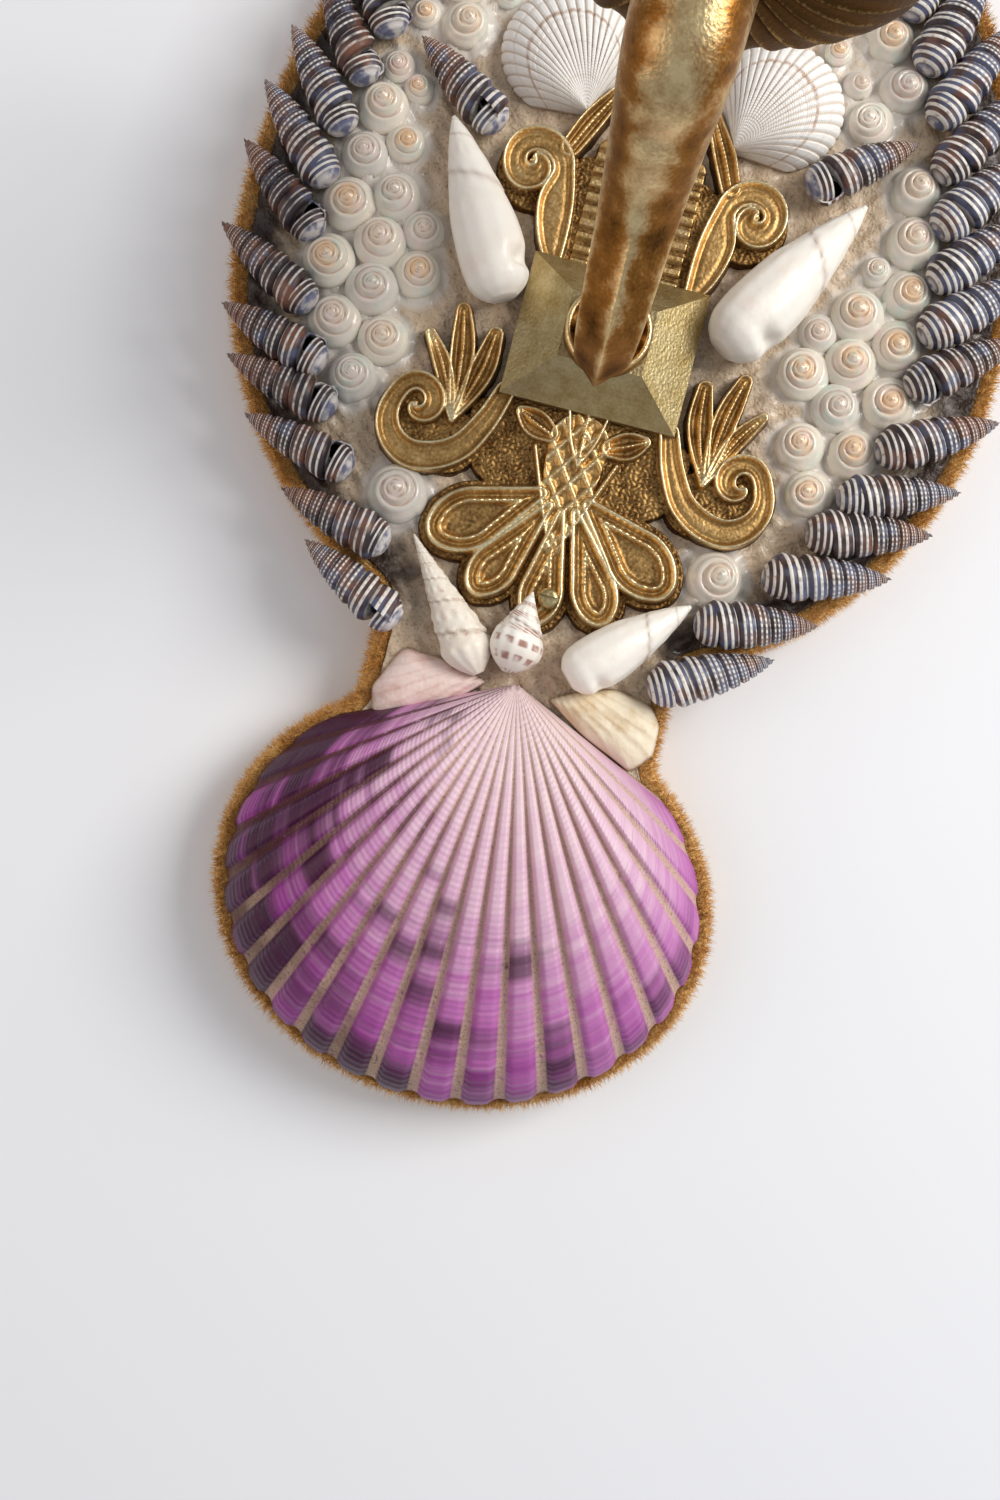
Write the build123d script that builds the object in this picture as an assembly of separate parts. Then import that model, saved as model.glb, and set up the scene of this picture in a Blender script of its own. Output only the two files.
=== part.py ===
from build123d import *
import math
import os

# Candle wall sconce: a velvet-wrapped board set with sea shells, a cast brass backplate, a curved arm
# and a lift-off candle nozzle. Sizes are millimetres. Pieces on the board are drawn in the wall's own
# frame, x to the right, y up the wall and z out of the wall, and turned into the part's frame at the end.

# Board outline, measured over the velvet
BODY_HALF_WIDTH = 79.0
BODY_TOP = 108.0
NECK_HALF_WIDTH = 31.0
NECK_FILLET = 7.0
DROP_CENTRE = 127.5
DROP_HALF_WIDTH = 51.0
DROP_HALF_HEIGHT = 42.5

# Layers, from the wall outwards
VELVET_T = 1.0
BOARD_T = 9.0
LIP_WIDTH = 3.0
LIP_T = 1.2
EDGE_ROUND = 0.7
BED_T = 2.5
BED_GAP = 0.2
PLATE_T = 2.0
RELIEF = 2.2
RELIEF_BEVEL = 1.2

# Boss, rosette, arm and its fixing
BOSS_Y = -13.5
BOSS_WIDTH = 36.0
BOSS_HEIGHT = 29.0
BOSS_EDGE = 2.0
BOSS_RISE = 7.5
BOSS_TOP_WIDTH = 17.0
BOSS_TOP_HEIGHT = 13.0
ROSETTE_R = 8.6
ROSETTE_T = 4.0
ARM_REACH = 100.0
ARM_ROOT_R = 5.5
ARM_ROOT_LENGTH = 9.0
PAD_Z = 22.0
PAD_R = 9.0
SOCKET_R = 7.0
SOCKET_LENGTH = 18.0
STUD_R = 3.0
STUD_GRIP = 7.0
WASHER_R = 8.0
WASHER_T = 1.2
NUT_FLATS = 10.0
NUT_T = 5.0
POCKET_R = 9.0
POCKET_DEPTH = 6.5
SCREW_GAP = 0.1

# Drip pan and candle cup
PAN_R = 33.5
PAN_RISE = 11.0
PAN_WALL = 1.6
PAN_RIBS = 36
TENON_R = 4.0
TENON_LENGTH = 14.0
TENON_CLEARANCE = 0.05
CANDLE_R = 11.2
CANDLE_DEPTH = 22.0
CUP_WALL = 2.0
CUP_STEM_R = 6.0
CUP_STEM_LENGTH = 6.0
CUP_FLOOR = 5.2

# Keyhole hanger in the back
HANGER_Y = 62.0
HANGER_WIDTH = 34.0
HANGER_HEIGHT = 16.0
HANGER_T = 1.5
KEYHOLE_R = 4.25
KEYHOLE_SLOT = 4.5
KEYHOLE_RISE = 6.0
KEYHOLE_POCKET = 7.0
KEYHOLE_ROOM_WIDTH = 20.0
HANGER_SCREW_R = 1.5
HANGER_SCREW_HEAD_R = 2.8
HANGER_SCREW_LENGTH = 7.0
HANGER_SCREW_SPREAD = 13.0

# Backplate screws
PLATE_SCREW_R = 1.2
PLATE_SCREW_HEAD_R = 2.1
PLATE_SCREW_HEAD_T = 1.4
PLATE_SCREW_LENGTH = 9.0
PLATE_SCREW_LOW = (1.8, -65.4)
PLATE_SCREW_HIGH = (0.0, 38.0)

# Border of horn shells
HORN_LENGTH = 22.0
HORN_R = 3.95
HORN_PITCH = 8.1
HORN_LEAN = 36.0
HORN_LEAST_RISE = 14.0
HORN_START_Y = -57.5
NECK_HORN_TIP = (46.5, -67.0)
NECK_HORN_RISE = 28.0
HORN_WHORLS = 6

# Field of button top shells, from the largest to the smallest that fill it
TOP_RADII = (4.6, 4.1, 3.6, 3.0)
TOP_HEIGHT = 0.8
TOP_GAP = 0.25
TOP_FIRST_INSET = 18.0
TOP_ROW_STEP = 1.0
TOP_LOW_Y = -50.0
CROWN_Y = 55.0
PEARL_R = 2.6
PEARL_ANGLES = (150.0, 118.0, 88.0, 58.0, 30.0)

# Scallop: plan ellipse, with the hinge above its centre
SCALLOP_HALF_WIDTH = 48.0
SCALLOP_HALF_HEIGHT = 41.0
SCALLOP_HINGE = 44.2
SCALLOP_FAN = 66.0
SCALLOP_RIBS = 22
SCALLOP_DOME = 19.0
SCALLOP_RIB_RISE = 0.8
EAR_RISE = 4.0
EAR_LEFT = [(-13.5, -84.6), (-25.0, -83.5), (-27.2, -92.6)]
EAR_RIGHT = [(13.0, -84.2), (25.5, -80.8), (29.8, -87.0), (28.6, -92.6), (25.5, -92.0)]

# Cockles beside the crest of the backplate
COCKLE_HALF_WIDTH = 13.2
COCKLE_HALF_HEIGHT = 12.6
COCKLE_HINGE = 13.4
COCKLE_FAN = 62.0
COCKLE_RIBS = 20
COCKLE_DOME = 8.5
COCKLE_RIB_RISE = 0.3
COCKLE_UMBO = (15.0, 31.0)
COCKLE_RISE = 58.0

BOARD_BACK = VELVET_T
BOARD_FRONT = BOARD_BACK + BOARD_T
BED_FRONT = BOARD_FRONT + BED_T
PLATE_FRONT = BED_FRONT + PLATE_T
BOSS_FRONT = PLATE_FRONT + BOSS_EDGE + BOSS_RISE
ROSETTE_FRONT = BOSS_FRONT + ROSETTE_T
WALL = Plane.XZ


def slab(sketch, low, high):
    """The sketch drawn out from depth low to depth high."""
    return extrude(Pos(0, 0, low) * sketch, amount=high - low)


def rod(radius, low, high, x=0.0, y=0.0):
    """A round bar along the wall's normal."""
    return slab(Pos(x, y) * Circle(radius), low, high)


def mirrored(solid):
    """The same piece on the other side of the middle line."""
    return solid.mirror(Plane.YZ)


def outline(inset):
    """Outline of the board: an egg-shaped body with a rounded drop below its neck."""
    half = BODY_HALF_WIDTH - inset
    neck = NECK_HALF_WIDTH - inset
    lower = CenterArc((0, 0), half, 180, 180)
    upper = EllipticalCenterArc((0, 0), half, BODY_TOP - inset, 0, arc_size=180)
    body = make_face([lower, upper])
    drop = Pos(0, -DROP_CENTRE) * Ellipse(DROP_HALF_WIDTH - inset, DROP_HALF_HEIGHT - inset)
    bridge = Pos(0, -DROP_CENTRE / 2 - half / 4) * Rectangle(2 * neck, DROP_CENTRE - half / 2)
    shape = body + drop + bridge
    corners = [v for v in shape.vertices() if abs(abs(v.X) - neck) < 0.01]
    return fillet(corners, NECK_FILLET + inset)


# Board, velvet, bed and hanger

def hanger_sketch(gap=0.0):
    """Outline of the keyhole plate."""
    return Pos(0, HANGER_Y) * RectangleRounded(HANGER_WIDTH + 2 * gap, HANGER_HEIGHT + 2 * gap, 2.0)


def hanger_screw_places():
    return [(-HANGER_SCREW_SPREAD, HANGER_Y), (HANGER_SCREW_SPREAD, HANGER_Y)]


def plate_screw_places():
    return [PLATE_SCREW_LOW, PLATE_SCREW_HIGH]


def make_backboard():
    board = slab(outline(VELVET_T), BOARD_BACK, BOARD_FRONT)
    board -= rod(STUD_R + SCREW_GAP, BOARD_BACK, BOARD_FRONT, 0, BOSS_Y)
    board -= rod(POCKET_R, BOARD_BACK, BOARD_BACK + POCKET_DEPTH, 0, BOSS_Y)
    board -= slab(hanger_sketch(BED_GAP), BOARD_BACK, HANGER_T)
    room = RectangleRounded(KEYHOLE_ROOM_WIDTH, HANGER_HEIGHT - 1, 2.0)
    board -= slab(Pos(0, HANGER_Y) * room, BOARD_BACK, HANGER_T + KEYHOLE_POCKET)
    for x, y in hanger_screw_places():
        board -= rod(HANGER_SCREW_R + SCREW_GAP, BOARD_BACK, HANGER_SCREW_LENGTH + SCREW_GAP, x, y)
    for x, y in plate_screw_places():
        depth = PLATE_FRONT + RELIEF - PLATE_SCREW_LENGTH
        board -= rod(PLATE_SCREW_R + SCREW_GAP, depth - SCREW_GAP, BOARD_FRONT, x, y)
    return board


def make_velvet():
    cover = slab(outline(0), 0, BOARD_FRONT + LIP_T)
    cover = fillet(cover.faces().sort_by(Axis.Z)[0].edges(), EDGE_ROUND)
    cover = fillet(cover.faces().sort_by(Axis.Z)[-1].edges(), EDGE_ROUND)
    cover -= slab(outline(VELVET_T), BOARD_BACK, BOARD_FRONT)
    cover -= slab(outline(LIP_WIDTH), BOARD_FRONT, BOARD_FRONT + LIP_T)
    return cover - slab(hanger_sketch(BED_GAP), 0, BOARD_BACK)


def make_bed():
    bed = slab(outline(LIP_WIDTH + BED_GAP), BOARD_FRONT, BED_FRONT)
    bed -= rod(STUD_R + SCREW_GAP, BOARD_FRONT, BED_FRONT, 0, BOSS_Y)
    for x, y in plate_screw_places():
        bed -= rod(PLATE_SCREW_R + SCREW_GAP, BOARD_FRONT, BED_FRONT, x, y)
    return bed


def make_hanger():
    plate = slab(hanger_sketch(), 0, HANGER_T)
    low = HANGER_Y - KEYHOLE_RISE / 2
    plate -= rod(KEYHOLE_R, 0, HANGER_T, 0, low)
    slot = Pos(0, low + KEYHOLE_RISE / 2) * Rectangle(KEYHOLE_SLOT, KEYHOLE_RISE)
    plate -= slab(slot, 0, HANGER_T)
    plate -= rod(KEYHOLE_SLOT / 2, 0, HANGER_T, 0, low + KEYHOLE_RISE)
    for x, y in hanger_screw_places():
        sink = Cone(HANGER_SCREW_HEAD_R + SCREW_GAP, HANGER_SCREW_R + SCREW_GAP, HANGER_T)
        plate -= Pos(x, y, HANGER_T / 2) * sink
    return plate


def make_hanger_screws():
    screws = []
    for x, y in hanger_screw_places():
        head = Pos(x, y, HANGER_T / 2) * Cone(HANGER_SCREW_HEAD_R, HANGER_SCREW_R, HANGER_T)
        drive = Pos(x, y, 0.3) * (Box(0.8, 3.2, 0.6) + Box(3.2, 0.8, 0.6))
        screws.append(head + rod(HANGER_SCREW_R, HANGER_T, HANGER_SCREW_LENGTH, x, y) - drive)
    return screws


# Shells

def valve(half_width, half_height, hinge, fan, ribs, dome, rib_rise, rows=12, steps=6):
    """A ribbed shell valve lying on z = 0, its hinge at the origin and its fan opening towards -y."""
    fan = math.radians(fan)
    near = 0.04

    def reach(angle):
        """Distance from the hinge to the margin's ellipse along a rib."""
        s, c = math.sin(angle), math.cos(angle)
        square = (s / half_width) ** 2 + (c / half_height) ** 2
        middle = hinge * c / half_height**2
        rest = (hinge / half_height) ** 2 - 1
        return (middle + math.sqrt(middle**2 - square * rest)) / square

    def surface_point(across, along):
        angle = fan * (2 * across - 1)
        wave = -math.cos(2 * math.pi * ribs * across)
        distance = reach(angle) * (near + (1 - near) * along) + rib_rise * wave * along
        swell = max(0.0, 4 * along * (1 - along)) ** 0.6
        side = max(0.0, 1 - (2 * across - 1) ** 4) ** 0.8
        height = swell * side * (dome + rib_rise * along * wave)
        return (distance * math.sin(angle), -distance * math.cos(angle), height)

    count = ribs * steps
    grid = [[surface_point(i / count, j / rows) for i in range(count + 1)] for j in range(rows + 1)]
    skin = Face.make_surface_from_array_of_points(grid, tol=0.05, min_deg=3, max_deg=3)
    floor = Face(Wire(skin.edges()))
    return Solid(Shell([skin, floor]))


def on_bed(solid, x, y, turn=0.0):
    """A shell made on z = 0 and set on the glue bed."""
    return Pos(x, y, BED_FRONT) * Rot(0, 0, turn) * solid


def lay_down(solid, axis_height, dip=0.0):
    """A shell turned about the x axis, laid with its axis above z = 0 and ground flat where it is glued."""
    laid = Pos(0, 0, axis_height) * Rot(0, dip, 0) * solid
    air = Pos(0, 0, 50) * Box(200, 200, 100)
    return (laid & air).solids().sort_by(SortBy.VOLUME)[-1]


def turned(points):
    """A body turned about the x axis from half of its outline."""
    return revolve(make_face(Polyline(*points, close=True)), Axis.X)


def turned_smooth(points):
    """A smooth body turned about the x axis, from its base at the origin to its tip."""
    crown = Spline(*points)
    closing = Polyline(points[-1], (points[-1][0], 0), (points[0][0], 0), points[0])
    return revolve(make_face([crown, closing]), Axis.X)


def horn(length, radius):
    """A horn shell with stepped whorls and an open mouth, its base at the origin and its tip on +x."""
    points = [(0.0, 0.0), (0.0, 0.62 * radius)]
    for k in range(HORN_WHORLS):
        start, end = k / HORN_WHORLS, (k + 1) / HORN_WHORLS
        points.append((length * (start + 0.4 * (end - start)), radius * (1 - start) ** 0.8))
        points.append((length * end, 0.86 * radius * (1.02 - end) ** 0.8))
    points.append((length, 0.0))
    body = lay_down(turned(points), 0.72 * radius, 4.0)
    mouth = Pos(0.4, 0, 0.95 * radius) * Rot(0, -50, 0) * Cylinder(0.42 * radius, 1.5 * radius)
    return body - mouth


def button_top(radius):
    """A low button top shell, standing on z = 0."""
    high = TOP_HEIGHT * radius
    points = [(0, 0), (0.9 * radius, 0), (radius, 0.28 * high), (0.66 * radius, 0.66 * high)]
    points += [(0.3 * radius, 0.9 * high), (0, high)]
    profile = make_face(Polyline(*[(r, 0, z) for r, z in points], close=True))
    return revolve(profile, Axis.Z)


def edge_point(angle):
    """Point of the body's outline at an angle of its arcs."""
    rise = BODY_HALF_WIDTH if angle < 0 else BODY_TOP
    return BODY_HALF_WIDTH * math.cos(angle), rise * math.sin(angle)


def edge_facing(angle):
    """Direction of the outline's outward normal, in degrees above the level."""
    rise = BODY_HALF_WIDTH if angle < 0 else BODY_TOP
    return math.degrees(math.atan2(math.sin(angle) / rise, math.cos(angle) / BODY_HALF_WIDTH))


def edge_stride(angle):
    """Length of outline for a radian of its arcs."""
    rise = BODY_HALF_WIDTH if angle < 0 else BODY_TOP
    return math.hypot(BODY_HALF_WIDTH * math.sin(angle), rise * math.cos(angle))


def border_places():
    """Tip and rise of each horn shell of the right-hand border, from the neck to the crown."""
    places = [(*NECK_HORN_TIP, NECK_HORN_RISE)]
    angle = math.asin(HORN_START_Y / BODY_HALF_WIDTH)
    while edge_point(angle)[0] > HORN_PITCH:
        facing = edge_facing(angle)
        rise = min(90.0, max(HORN_LEAST_RISE, facing + HORN_LEAN))
        places.append((*edge_point(angle), rise))
        narrowing = 0.0
        if HORN_LEAST_RISE < rise < 90.0:
            nudge = 0.01
            turn = math.radians(edge_facing(angle + nudge) - facing)
            narrowing = HORN_LENGTH * turn / (nudge * edge_stride(angle))
        stride = HORN_PITCH / (math.cos(math.radians(rise - facing)) - narrowing)
        angle += stride / edge_stride(angle)
    return places


def place_horn(shell, tip_x, tip_y, rise):
    """A horn shell set on the bed with its tip at a point."""
    run = math.radians(rise)
    return on_bed(shell, tip_x - HORN_LENGTH * math.cos(run), tip_y - HORN_LENGTH * math.sin(run), rise)


def make_horns_right(shell):
    return [place_horn(shell, *place) for place in border_places()]


def make_horns_left(shell):
    return [place_horn(shell, -x, y, 180.0 - rise) for x, y, rise in border_places()]


# Tip and base of the single shells that are not part of a row
WHITE_RIGHT = ((43.5, 26.0), (22.5, -9.2))
WHITE_LEFT = ((-40.5, 23.0), (-21.8, -10.2))
INNER_HORN_RIGHT = ((49.5, 40.5), 37.5)
INNER_HORN_LEFT = ((-49.5, 36.5), 144.0)
SPINDLE = ((29.5, -59.5), (9.5, -80.0))
TURRET = ((-27.5, -59.5), (-11.5, -79.0))
WHELK = ((-1.5, -65.0), (-2.5, -81.5))
SINGLE_TOPS = [(-33.0, -52.5, 5.4), (32.8, -53.2, 5.5)]
WHITE_RIGHT_R = 7.2
WHITE_LEFT_R = 6.8
WHITE_SLENDER = 6.0
HORN_SLENDER = 3.2
SPINDLE_R = 5.6
TURRET_R = 4.4
TURRET_WHORLS = 7
TURRET_SLOPE = 1.05
WHELK_R = 5.3
WHELK_DIP = -8.0

# Room that the rows of top shells leave for the backplate: both ends and half width
PLATE_KEEP_OUTS = [((0.0, BOSS_Y), (0.0, 20.0), 19.0),
                   ((33.0, -37.0), (33.0, -37.0), 10.2),
                   ((22.0, 17.0), (22.0, 17.0), 9.6),
                   ((0.0, -46.0), (0.0, -46.0), 27.0),
                   ((0.0, 20.0), (0.0, 43.0), 9.4)]


def between(tip, base):
    """Length and turn of a shell that lies from its base to its tip."""
    run, rise = tip[0] - base[0], tip[1] - base[1]
    return math.hypot(run, rise), math.degrees(math.atan2(rise, run))


def smooth_shell(place, radius):
    """A smooth spindle-shaped shell with a rolled lip and a long mouth beside it."""
    tip, base = place
    length, turn = between(tip, base)
    shares = [(0.0, 0.3), (0.1, 0.74), (0.28, 1.0), (0.5, 0.84), (0.75, 0.44), (1.0, 0.04)]
    body = lay_down(turned_smooth([(length * a, radius * b) for a, b in shares]), 0.8 * radius, 3.0)
    slit = Rot(0, 90, 6) * Cylinder(0.16 * radius, 0.36 * length)
    mouth = Pos(0.16 * length, -0.98 * radius, 0.75 * radius) * slit
    return on_bed(body - mouth, *base, turn)


def stepped_shell(place, radius, whorls, slope):
    """A turreted shell with stepped whorls."""
    tip, base = place
    length, turn = between(tip, base)
    points = [(0.0, 0.0), (0.0, 0.35 * radius), (0.12 * length, 0.8 * radius)]
    for k in range(whorls):
        start, end = 0.2 + 0.8 * k / whorls, 0.2 + 0.8 * (k + 1) / whorls
        points.append((length * start, radius * (1.16 - start) ** slope))
        points.append((length * (end - 0.01), 0.82 * radius * (1.16 - end) ** slope))
    points.append((length, 0.0))
    return lay_down(turned(points), 0.78 * radius, 2.0), turn


def make_turret():
    shell, turn = stepped_shell(TURRET, TURRET_R, TURRET_WHORLS, TURRET_SLOPE)
    return on_bed(shell, *TURRET[1], turn)


def make_whelk():
    """The striped whelk leans its tip on the lowest lobe of the backplate."""
    tip, base = WHELK
    radius = WHELK_R
    length, turn = between(tip, base)
    points = [(0.0, 0.0), (0.0, 0.3 * radius), (0.14 * length, 0.82 * radius), (0.34 * length, radius)]
    points += [(0.54 * length, 0.8 * radius), (0.56 * length, 0.72 * radius), (0.74 * length, 0.5 * radius)]
    points += [(0.76 * length, 0.42 * radius), (0.98 * length, 0.08 * radius), (length, 0.0)]
    return on_bed(lay_down(turned(points), 0.8 * radius, WHELK_DIP), *base, turn)


def make_ear(corners):
    """A broken ear of the scallop: a low wedge with bevelled sides."""
    flat = make_face(Polyline(*corners, close=True))
    middle = flat.center()
    drawn_in = [((x + middle.X) / 2, (y + middle.Y) / 2) for x, y in corners]
    crest = Pos(0, 0, EAR_RISE) * make_face(Polyline(*drawn_in, close=True))
    return Pos(0, 0, BED_FRONT) * loft([flat, crest])


def make_scallop():
    shell = valve(SCALLOP_HALF_WIDTH, SCALLOP_HALF_HEIGHT, SCALLOP_HINGE, SCALLOP_FAN, SCALLOP_RIBS,
                  SCALLOP_DOME, SCALLOP_RIB_RISE)
    return on_bed(shell, 0, SCALLOP_HINGE - DROP_CENTRE)


def make_cockle():
    shell = valve(COCKLE_HALF_WIDTH, COCKLE_HALF_HEIGHT, COCKLE_HINGE, COCKLE_FAN, COCKLE_RIBS,
                  COCKLE_DOME, COCKLE_RIB_RISE, rows=8, steps=4)
    return on_bed(shell, *COCKLE_UMBO, COCKLE_RISE + 90.0)


def keep_outs():
    """Discs and bars on the right-hand side that the rows of top shells leave free: ends and half width."""
    sprays = [(base, tip, width / 2) for base, tip, width in SPRAYS]
    palmette = [(near, far, far_r) for near, near_r, far, far_r in lobes()]
    cockle = (cockle_middle(), cockle_middle(), COCKLE_HALF_WIDTH + TOP_GAP)
    pearls = [(place, place, PEARL_R) for place in pearl_places()]
    return PLATE_KEEP_OUTS + [cockle] + palmette + sprays + pearls + border_bars()


def cockle_middle():
    """Middle of the right-hand cockle's oval."""
    run = math.radians(COCKLE_RISE)
    return COCKLE_UMBO[0] + COCKLE_HINGE * math.cos(run), COCKLE_UMBO[1] + COCKLE_HINGE * math.sin(run)


def pearl_places():
    """Small pearl shells along the upper margin of the right-hand cockle."""
    x, y = cockle_middle()
    reach = COCKLE_HALF_WIDTH + PEARL_R + 2 * TOP_GAP
    angles = [math.radians(angle) for angle in PEARL_ANGLES]
    return [(x + reach * math.cos(a), y + reach * math.sin(a)) for a in angles]


def border_bars():
    """Bars of the border's horn shells: the thick base half and the slender tip half of each."""
    bars = []
    for x, y, rise in border_places() + [(0.0, BODY_TOP, 90.0)]:
        run = math.radians(rise)
        lengths = [0.0, 0.55 * HORN_LENGTH, HORN_LENGTH - 0.9 * HORN_R]
        tip, middle, base = [(x - s * math.cos(run), y - s * math.sin(run)) for s in lengths]
        bars += [(tip, middle, 0.65 * HORN_R), (middle, base, HORN_R)]
    return bars


def side_keep_outs(white, inner_horn, single):
    """Bars of the single shells of one side, as seen on the right."""
    tip, base = white
    horn_tip, rise = inner_horn
    run = math.radians(rise)
    horn_base = (horn_tip[0] - HORN_LENGTH * math.cos(run), horn_tip[1] - HORN_LENGTH * math.sin(run))
    bars = [(tip, base, WHITE_SLENDER), (base, base, WHITE_RIGHT_R), (single[:2], single[:2], single[2])]
    bars += [(horn_tip, horn_base, HORN_SLENDER), (horn_base, horn_base, HORN_R)]
    return [((abs(a[0]), a[1]), (abs(b[0]), b[1]), width) for a, b, width in bars]


def gap_to_bar(x, y, bar):
    """Distance from a point to the side of a round-ended bar."""
    (ax, ay), (bx, by), width = bar
    dx, dy = bx - ax, by - ay
    square = dx * dx + dy * dy
    share = 0.0 if square == 0 else max(0.0, min(1.0, ((x - ax) * dx + (y - ay) * dy) / square))
    return math.hypot(x - ax - share * dx, y - ay - share * dy) - width


def top_places(bars):
    """Centre and radius of the button tops of one side, seen on the right and packed from the border in."""
    places = []
    for radius in TOP_RADII:
        inset = TOP_FIRST_INSET
        while inset < BODY_HALF_WIDTH:
            wide, high = BODY_HALF_WIDTH - inset, BODY_TOP - inset
            for degree in range(-90, 90):
                angle = math.radians(degree)
                x, y = wide * math.cos(angle), (wide if degree < 0 else high) * math.sin(angle)
                clear = all(gap_to_bar(x, y, bar) > radius + TOP_GAP for bar in bars)
                apart = all(math.hypot(x - a, y - b) > radius + r + TOP_GAP for a, b, r in places)
                if clear and apart and x > radius + TOP_GAP and y > TOP_LOW_Y:
                    places.append((x, y, radius))
            inset += TOP_ROW_STEP
    return places


def make_tops(places, side):
    """Button tops of one side, with side 1 on the right and -1 on the left."""
    return [on_bed(button_top(radius), side * x, y) for x, y, radius in places]


# Brass backplate

def leaf(base, tip, width):
    """A pointed leaf between two points."""
    run, rise = tip[0] - base[0], tip[1] - base[1]
    length = math.hypot(run, rise)
    middle = ((base[0] + tip[0]) / 2, (base[1] + tip[1]) / 2)
    aside = (-rise / length * width / 2, run / length * width / 2)
    left = ThreePointArc(base, (middle[0] + aside[0], middle[1] + aside[1]), tip)
    right = ThreePointArc(tip, (middle[0] - aside[0], middle[1] - aside[1]), base)
    return make_face([left, right])


def drop_shape(near, near_r, far, far_r):
    """Two circles and the band that joins them."""
    edges = (Pos(*near) * Circle(near_r)).edges() + (Pos(*far) * Circle(far_r)).edges()
    return make_hull(edges)


SHOULDER_SIZE = (34.0, 28.0)
SHOULDER_Y = 13.0
APRON_SIZE = (38.0, 12.0)
APRON_Y = -33.0
GROUND_DISCS = [((33.5, -36.5), 9.0), ((26.0, -39.6), 7.6), ((21.5, 17.5), 7.6)]
BAR_SIZE = (4.2, 22.0)
BAR_PLACE = (9.2, 14.0)
CREST_GROUND = ((0.0, 28.0), 9.0, (0.0, 43.0), 3.5)
CREST_RAISED = ((0.0, 29.0), 6.5, (0.0, 42.0), 2.4)
PALMETTE_HEART = (0.0, -42.0)
PALMETTE_STEP = 29.5
PALMETTE_NEAR = 7.0
PALMETTE_GROUND = ((0.0, -48.0), 11.0)
LOBE_REACHES = (24.0, 24.8, 22.5, 24.8, 24.0)
LOBE_RADII = (5.6, 4.6, 4.6, 4.6, 5.6)
SPRAYS = [((27.5, -33.0), (36.0, -19.0), 5.4),
          ((26.5, -33.0), (30.5, -15.5), 5.6),
          ((24.5, -32.0), (21.8, -17.0), 5.2)]
SCROLL_LOW_START = (15.6, -30.0)
SCROLL_LOW_HEADING = -62.0
SCROLL_LOW_RUN = 7.5
SCROLL_LOW_RADII = [15.0, 8.0, 8.5, 6.5, 5.0, 4.2, 3.0]
SCROLL_HIGH_START = (14.0, 2.5)
SCROLL_HIGH_HEADING = 90.0
SCROLL_HIGH_RUN = 13.5
SCROLL_HIGH_RADII = [9.0, 7.0, 5.5, 4.0, 3.0]
SCROLL_BAND = 1.4


def raised_drop(near, near_r, far, far_r):
    """A drop shape that stands up from the plate with bevelled sides."""
    foot = drop_shape(near, near_r, far, far_r)
    crown = drop_shape(near, near_r - RELIEF_BEVEL, far, far_r - RELIEF_BEVEL)
    return loft([Pos(0, 0, PLATE_FRONT) * foot, Pos(0, 0, PLATE_FRONT + RELIEF) * crown])


def lobes():
    """Ends and radii of the palmette's gadroons, fanned about its heart."""
    shapes = []
    half = (len(LOBE_REACHES) - 1) / 2
    for k, (reach, radius) in enumerate(zip(LOBE_REACHES, LOBE_RADII)):
        angle = math.radians(-90.0 + PALMETTE_STEP * (k - half))
        way = (math.cos(angle), math.sin(angle))
        near = (PALMETTE_HEART[0] + PALMETTE_NEAR * way[0], PALMETTE_HEART[1] + PALMETTE_NEAR * way[1])
        far = (PALMETTE_HEART[0] + reach * way[0], PALMETTE_HEART[1] + reach * way[1])
        shapes.append((near, 0.45 * radius, far, radius))
    return shapes


def scroll(start, heading, straight, radii, sweeps):
    """A raised volute band: a straight run that curls in on ever smaller arcs."""
    way = (math.cos(math.radians(heading)), math.sin(math.radians(heading)))
    runs = [Line(start, (start[0] + straight * way[0], start[1] + straight * way[1]))]
    for radius, turn in zip(radii, sweeps):
        runs.append(JernArc(runs[-1] @ 1, runs[-1] % 1, radius, turn))
    path = Pos(0, 0, PLATE_FRONT) * Wire([run.edge() for run in runs])
    section = Plane(origin=path @ 0, z_dir=path % 0) * Circle(SCROLL_BAND)
    return sweep(section, path=path)


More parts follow.
